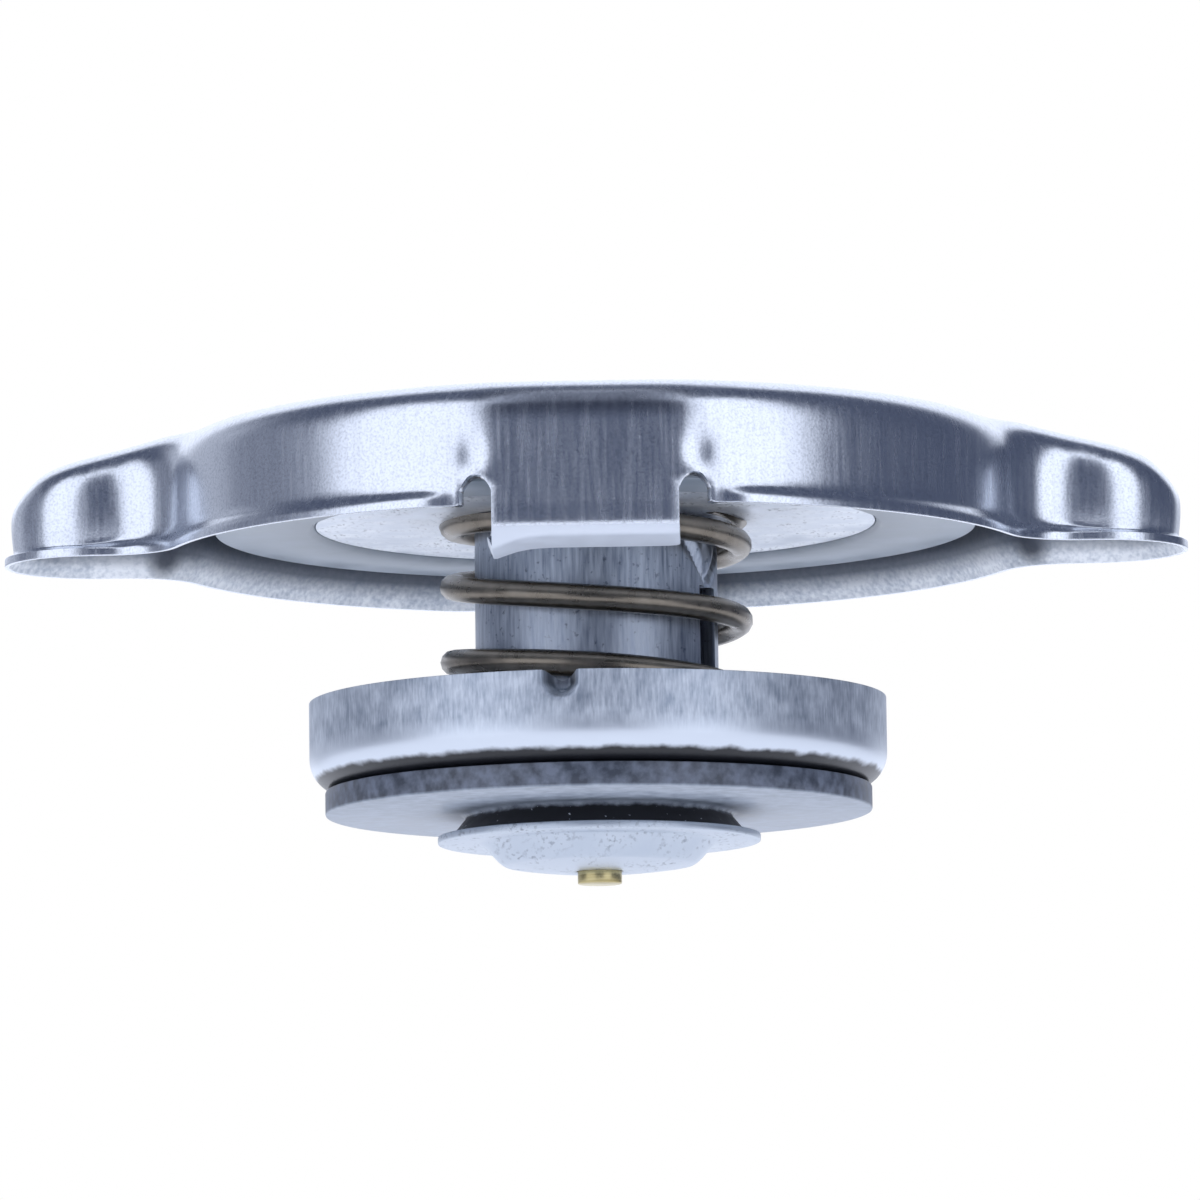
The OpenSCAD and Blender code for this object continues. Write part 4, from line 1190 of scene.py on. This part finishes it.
for vertex in valve_cup.data.vertices:
    x, y, z = vertex.co / MM
    if hypot(x, y) < CUP_R - 2 * CUP_T:
        continue
    for k in range(STAKES):
        a = STAKE_ANGLE + k * tau / STAKES
        out, across = x * sin(a) - y * cos(a), x * cos(a) + y * sin(a)
        below = max(0, CUP_RIM_Z - STAKE_DOWN - z)
        if out > 0:
            near = hypot(across, below) / STAKE_HALF
            push = STAKE_DEPTH * smooth_step((STAKE_REACH - near) / STAKE_FADE)
            dip = STAKE_DIP * smooth_step(1 - abs(across) / STAKE_DIP_HALF)
            dip *= smooth_step(1 - (CUP_RIM_Z - z) / STAKE_DIP_DOWN)
            vertex.co -= Vector((push * sin(a), -push * cos(a), dip)) * MM
finish_piece(valve_cup, "pressure_valve", [cup_zinc], ["valve_cup"], bevel=0.08)

# %% [markdown]
# ## Pressure gasket
# A thick rubber washer under the cup seals the lower seat in the neck. In its middle a lip leans outwards,
# and the vacuum disc closes on the lip. Washer and lip are one moulding, so they are one section, spun, with
# a small step where the lip leaves the washer.

# %% Pressure gasket
GASKET_R, GASKET_T, LIP_H, LIP_T = 18.55, 1.65, 1.45, 1.1
LIP_ROOT_R, LIP_TIP_R = 7.9, 8.9
LIP_STEP_W, LIP_STEP_H = 0.3, 0.25
gasket_low = CUP_LOW_Z - GASKET_T
lip_low = gasket_low - LIP_H

gasket = lathe("pressure_gasket", (
    [(NECK_R + PUSH_GAP, WEB_Z), (NECK_R + PUSH_GAP, CUP_LOW_Z)]
    + [(GASKET_R, CUP_LOW_Z), (GASKET_R, gasket_low)]
    + [(LIP_ROOT_R + LIP_T + LIP_STEP_W, gasket_low), (LIP_ROOT_R + LIP_T, gasket_low - LIP_STEP_H)]
    + [(LIP_TIP_R + LIP_T, lip_low), (LIP_TIP_R, lip_low), (LIP_ROOT_R, gasket_low), (LIP_ROOT_R, WEB_Z)]
), 288)
finish_piece(gasket, "pressure_valve", [gasket_rubber], ["pressure_seal"], bevel=0.14)

# %% [markdown]
# ## Vacuum valve
# A thin dished disc hangs on a brass pin and closes the gasket's lip from below. The pin's head shows under
# it, in a small collar. The disc's underside is drawn as one line, and the same line moved up by the
# thickness is its upper side, which keeps the sheet even.

# %% Vacuum disc and pin
DISC_R, DISC_T, DISC_TOP_Z = 10.95, 0.5, -20.9
BOWL_R, BOWL_FLOOR_R, BOWL_H = 8.3, 6.2, 1.65
BOWL_LIFT, FLOOR_STEPS, SIDE_STEPS = 0.1, 6, 10
COLLAR_IN_R, COLLAR_R, COLLAR_H = 1.58, 2.3, 0.3
PIN_R, PIN_HEAD_R, PIN_HEAD_H, PIN_GAP = 1.1, 1.5, 1.15, 0.05
RETAINER_T = 0.6
flange_z = DISC_TOP_Z - DISC_T
hub_z = flange_z - BOWL_H
pin_z = hub_z - PIN_HEAD_H
pin_top = RETAINER_Z + 2 * RETAINER_T

floor_z, collar_z = hub_z + BOWL_LIFT, hub_z - COLLAR_H
collar = [(PIN_R + PIN_GAP, hub_z), (COLLAR_IN_R, hub_z), (COLLAR_IN_R, collar_z)]
bowl_floor = [
    (mix(COLLAR_R, BOWL_FLOOR_R, i / FLOOR_STEPS), mix(collar_z, floor_z, (i / FLOOR_STEPS) ** 1.5))
    for i in range(FLOOR_STEPS + 1)
]
bowl_side = [
    (mix(BOWL_FLOOR_R, BOWL_R, i / SIDE_STEPS), mix(floor_z, flange_z, smooth_step(i / SIDE_STEPS)))
    for i in range(1, SIDE_STEPS + 1)
]
under = collar + bowl_floor + bowl_side + [(DISC_R, flange_z)]
vacuum_disc = lathe("vacuum_disc_dish", under + [(r, z + DISC_T) for r, z in reversed(under)], 256)
finish_piece(vacuum_disc, "vacuum_valve", [zinc_plate], ["vacuum_disc"], bevel=0.1)

pin = lathe("vacuum_pin_turned", [
    (0, pin_z),
    (PIN_HEAD_R, pin_z),
    (PIN_HEAD_R, hub_z),
    (PIN_R, hub_z),
    (PIN_R, RETAINER_Z + RETAINER_T),
    (PIN_HEAD_R, RETAINER_Z + RETAINER_T),
    (PIN_R, pin_top),
    (0, pin_top),
], 64)
finish_piece(pin, "vacuum_valve", [turned_brass], ["vacuum_pin"], bevel=0.1)

# %% [markdown]
# ## Hidden pieces
# The friction disc, the spring plate, the bridge and the pin's washer hardly show. They could be modelled
# again, but their CAD shapes are right, so they keep them and get a finish.

# %% Finishes of the hidden pieces
HIDDEN = ("friction_disc", "spring_plate", "vacuum_bridge", "vacuum_retainer")
for node in HIDDEN:
    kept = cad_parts[node]
    kept.data.materials.clear()
    kept.data.materials.append(zinc_plate)
print("CAD shapes kept, in zinc plate:", ", ".join(HIDDEN))

# %% [markdown]
# ## Floor
# A pale floor lies well below, out of the photograph's view. It gives the underside something to reflect. It
# glows a little, because a tent's floor is lit from above, and the world's light alone leaves it grey.

# %% Floor
FLOOR_Z, FLOOR_SIZE = -0.25, 4
bpy.ops.object.select_all(action="DESELECT")
bpy.ops.mesh.primitive_plane_add(size=FLOOR_SIZE, location=(0, 0, FLOOR_Z))
floor = bpy.context.object
floor.name = "studio_floor"
bpy.ops.object.transform_apply(location=True, rotation=True, scale=True)
floor_finish, tree, _ = start_finish("matt_white_paper")
shader = add_node(tree, "BsdfPrincipled", {
    "Base Color": linear("F0F1F3"), "Roughness": 0.8,
    "Emission Color": linear("F4F7FF"), "Emission Strength": 0.6,
})
add_node(tree, "OutputMaterial", {"Surface": shader})
floor.data.materials.append(floor_finish)
print("floor", FLOOR_SIZE, "m wide at", FLOOR_Z, "m")
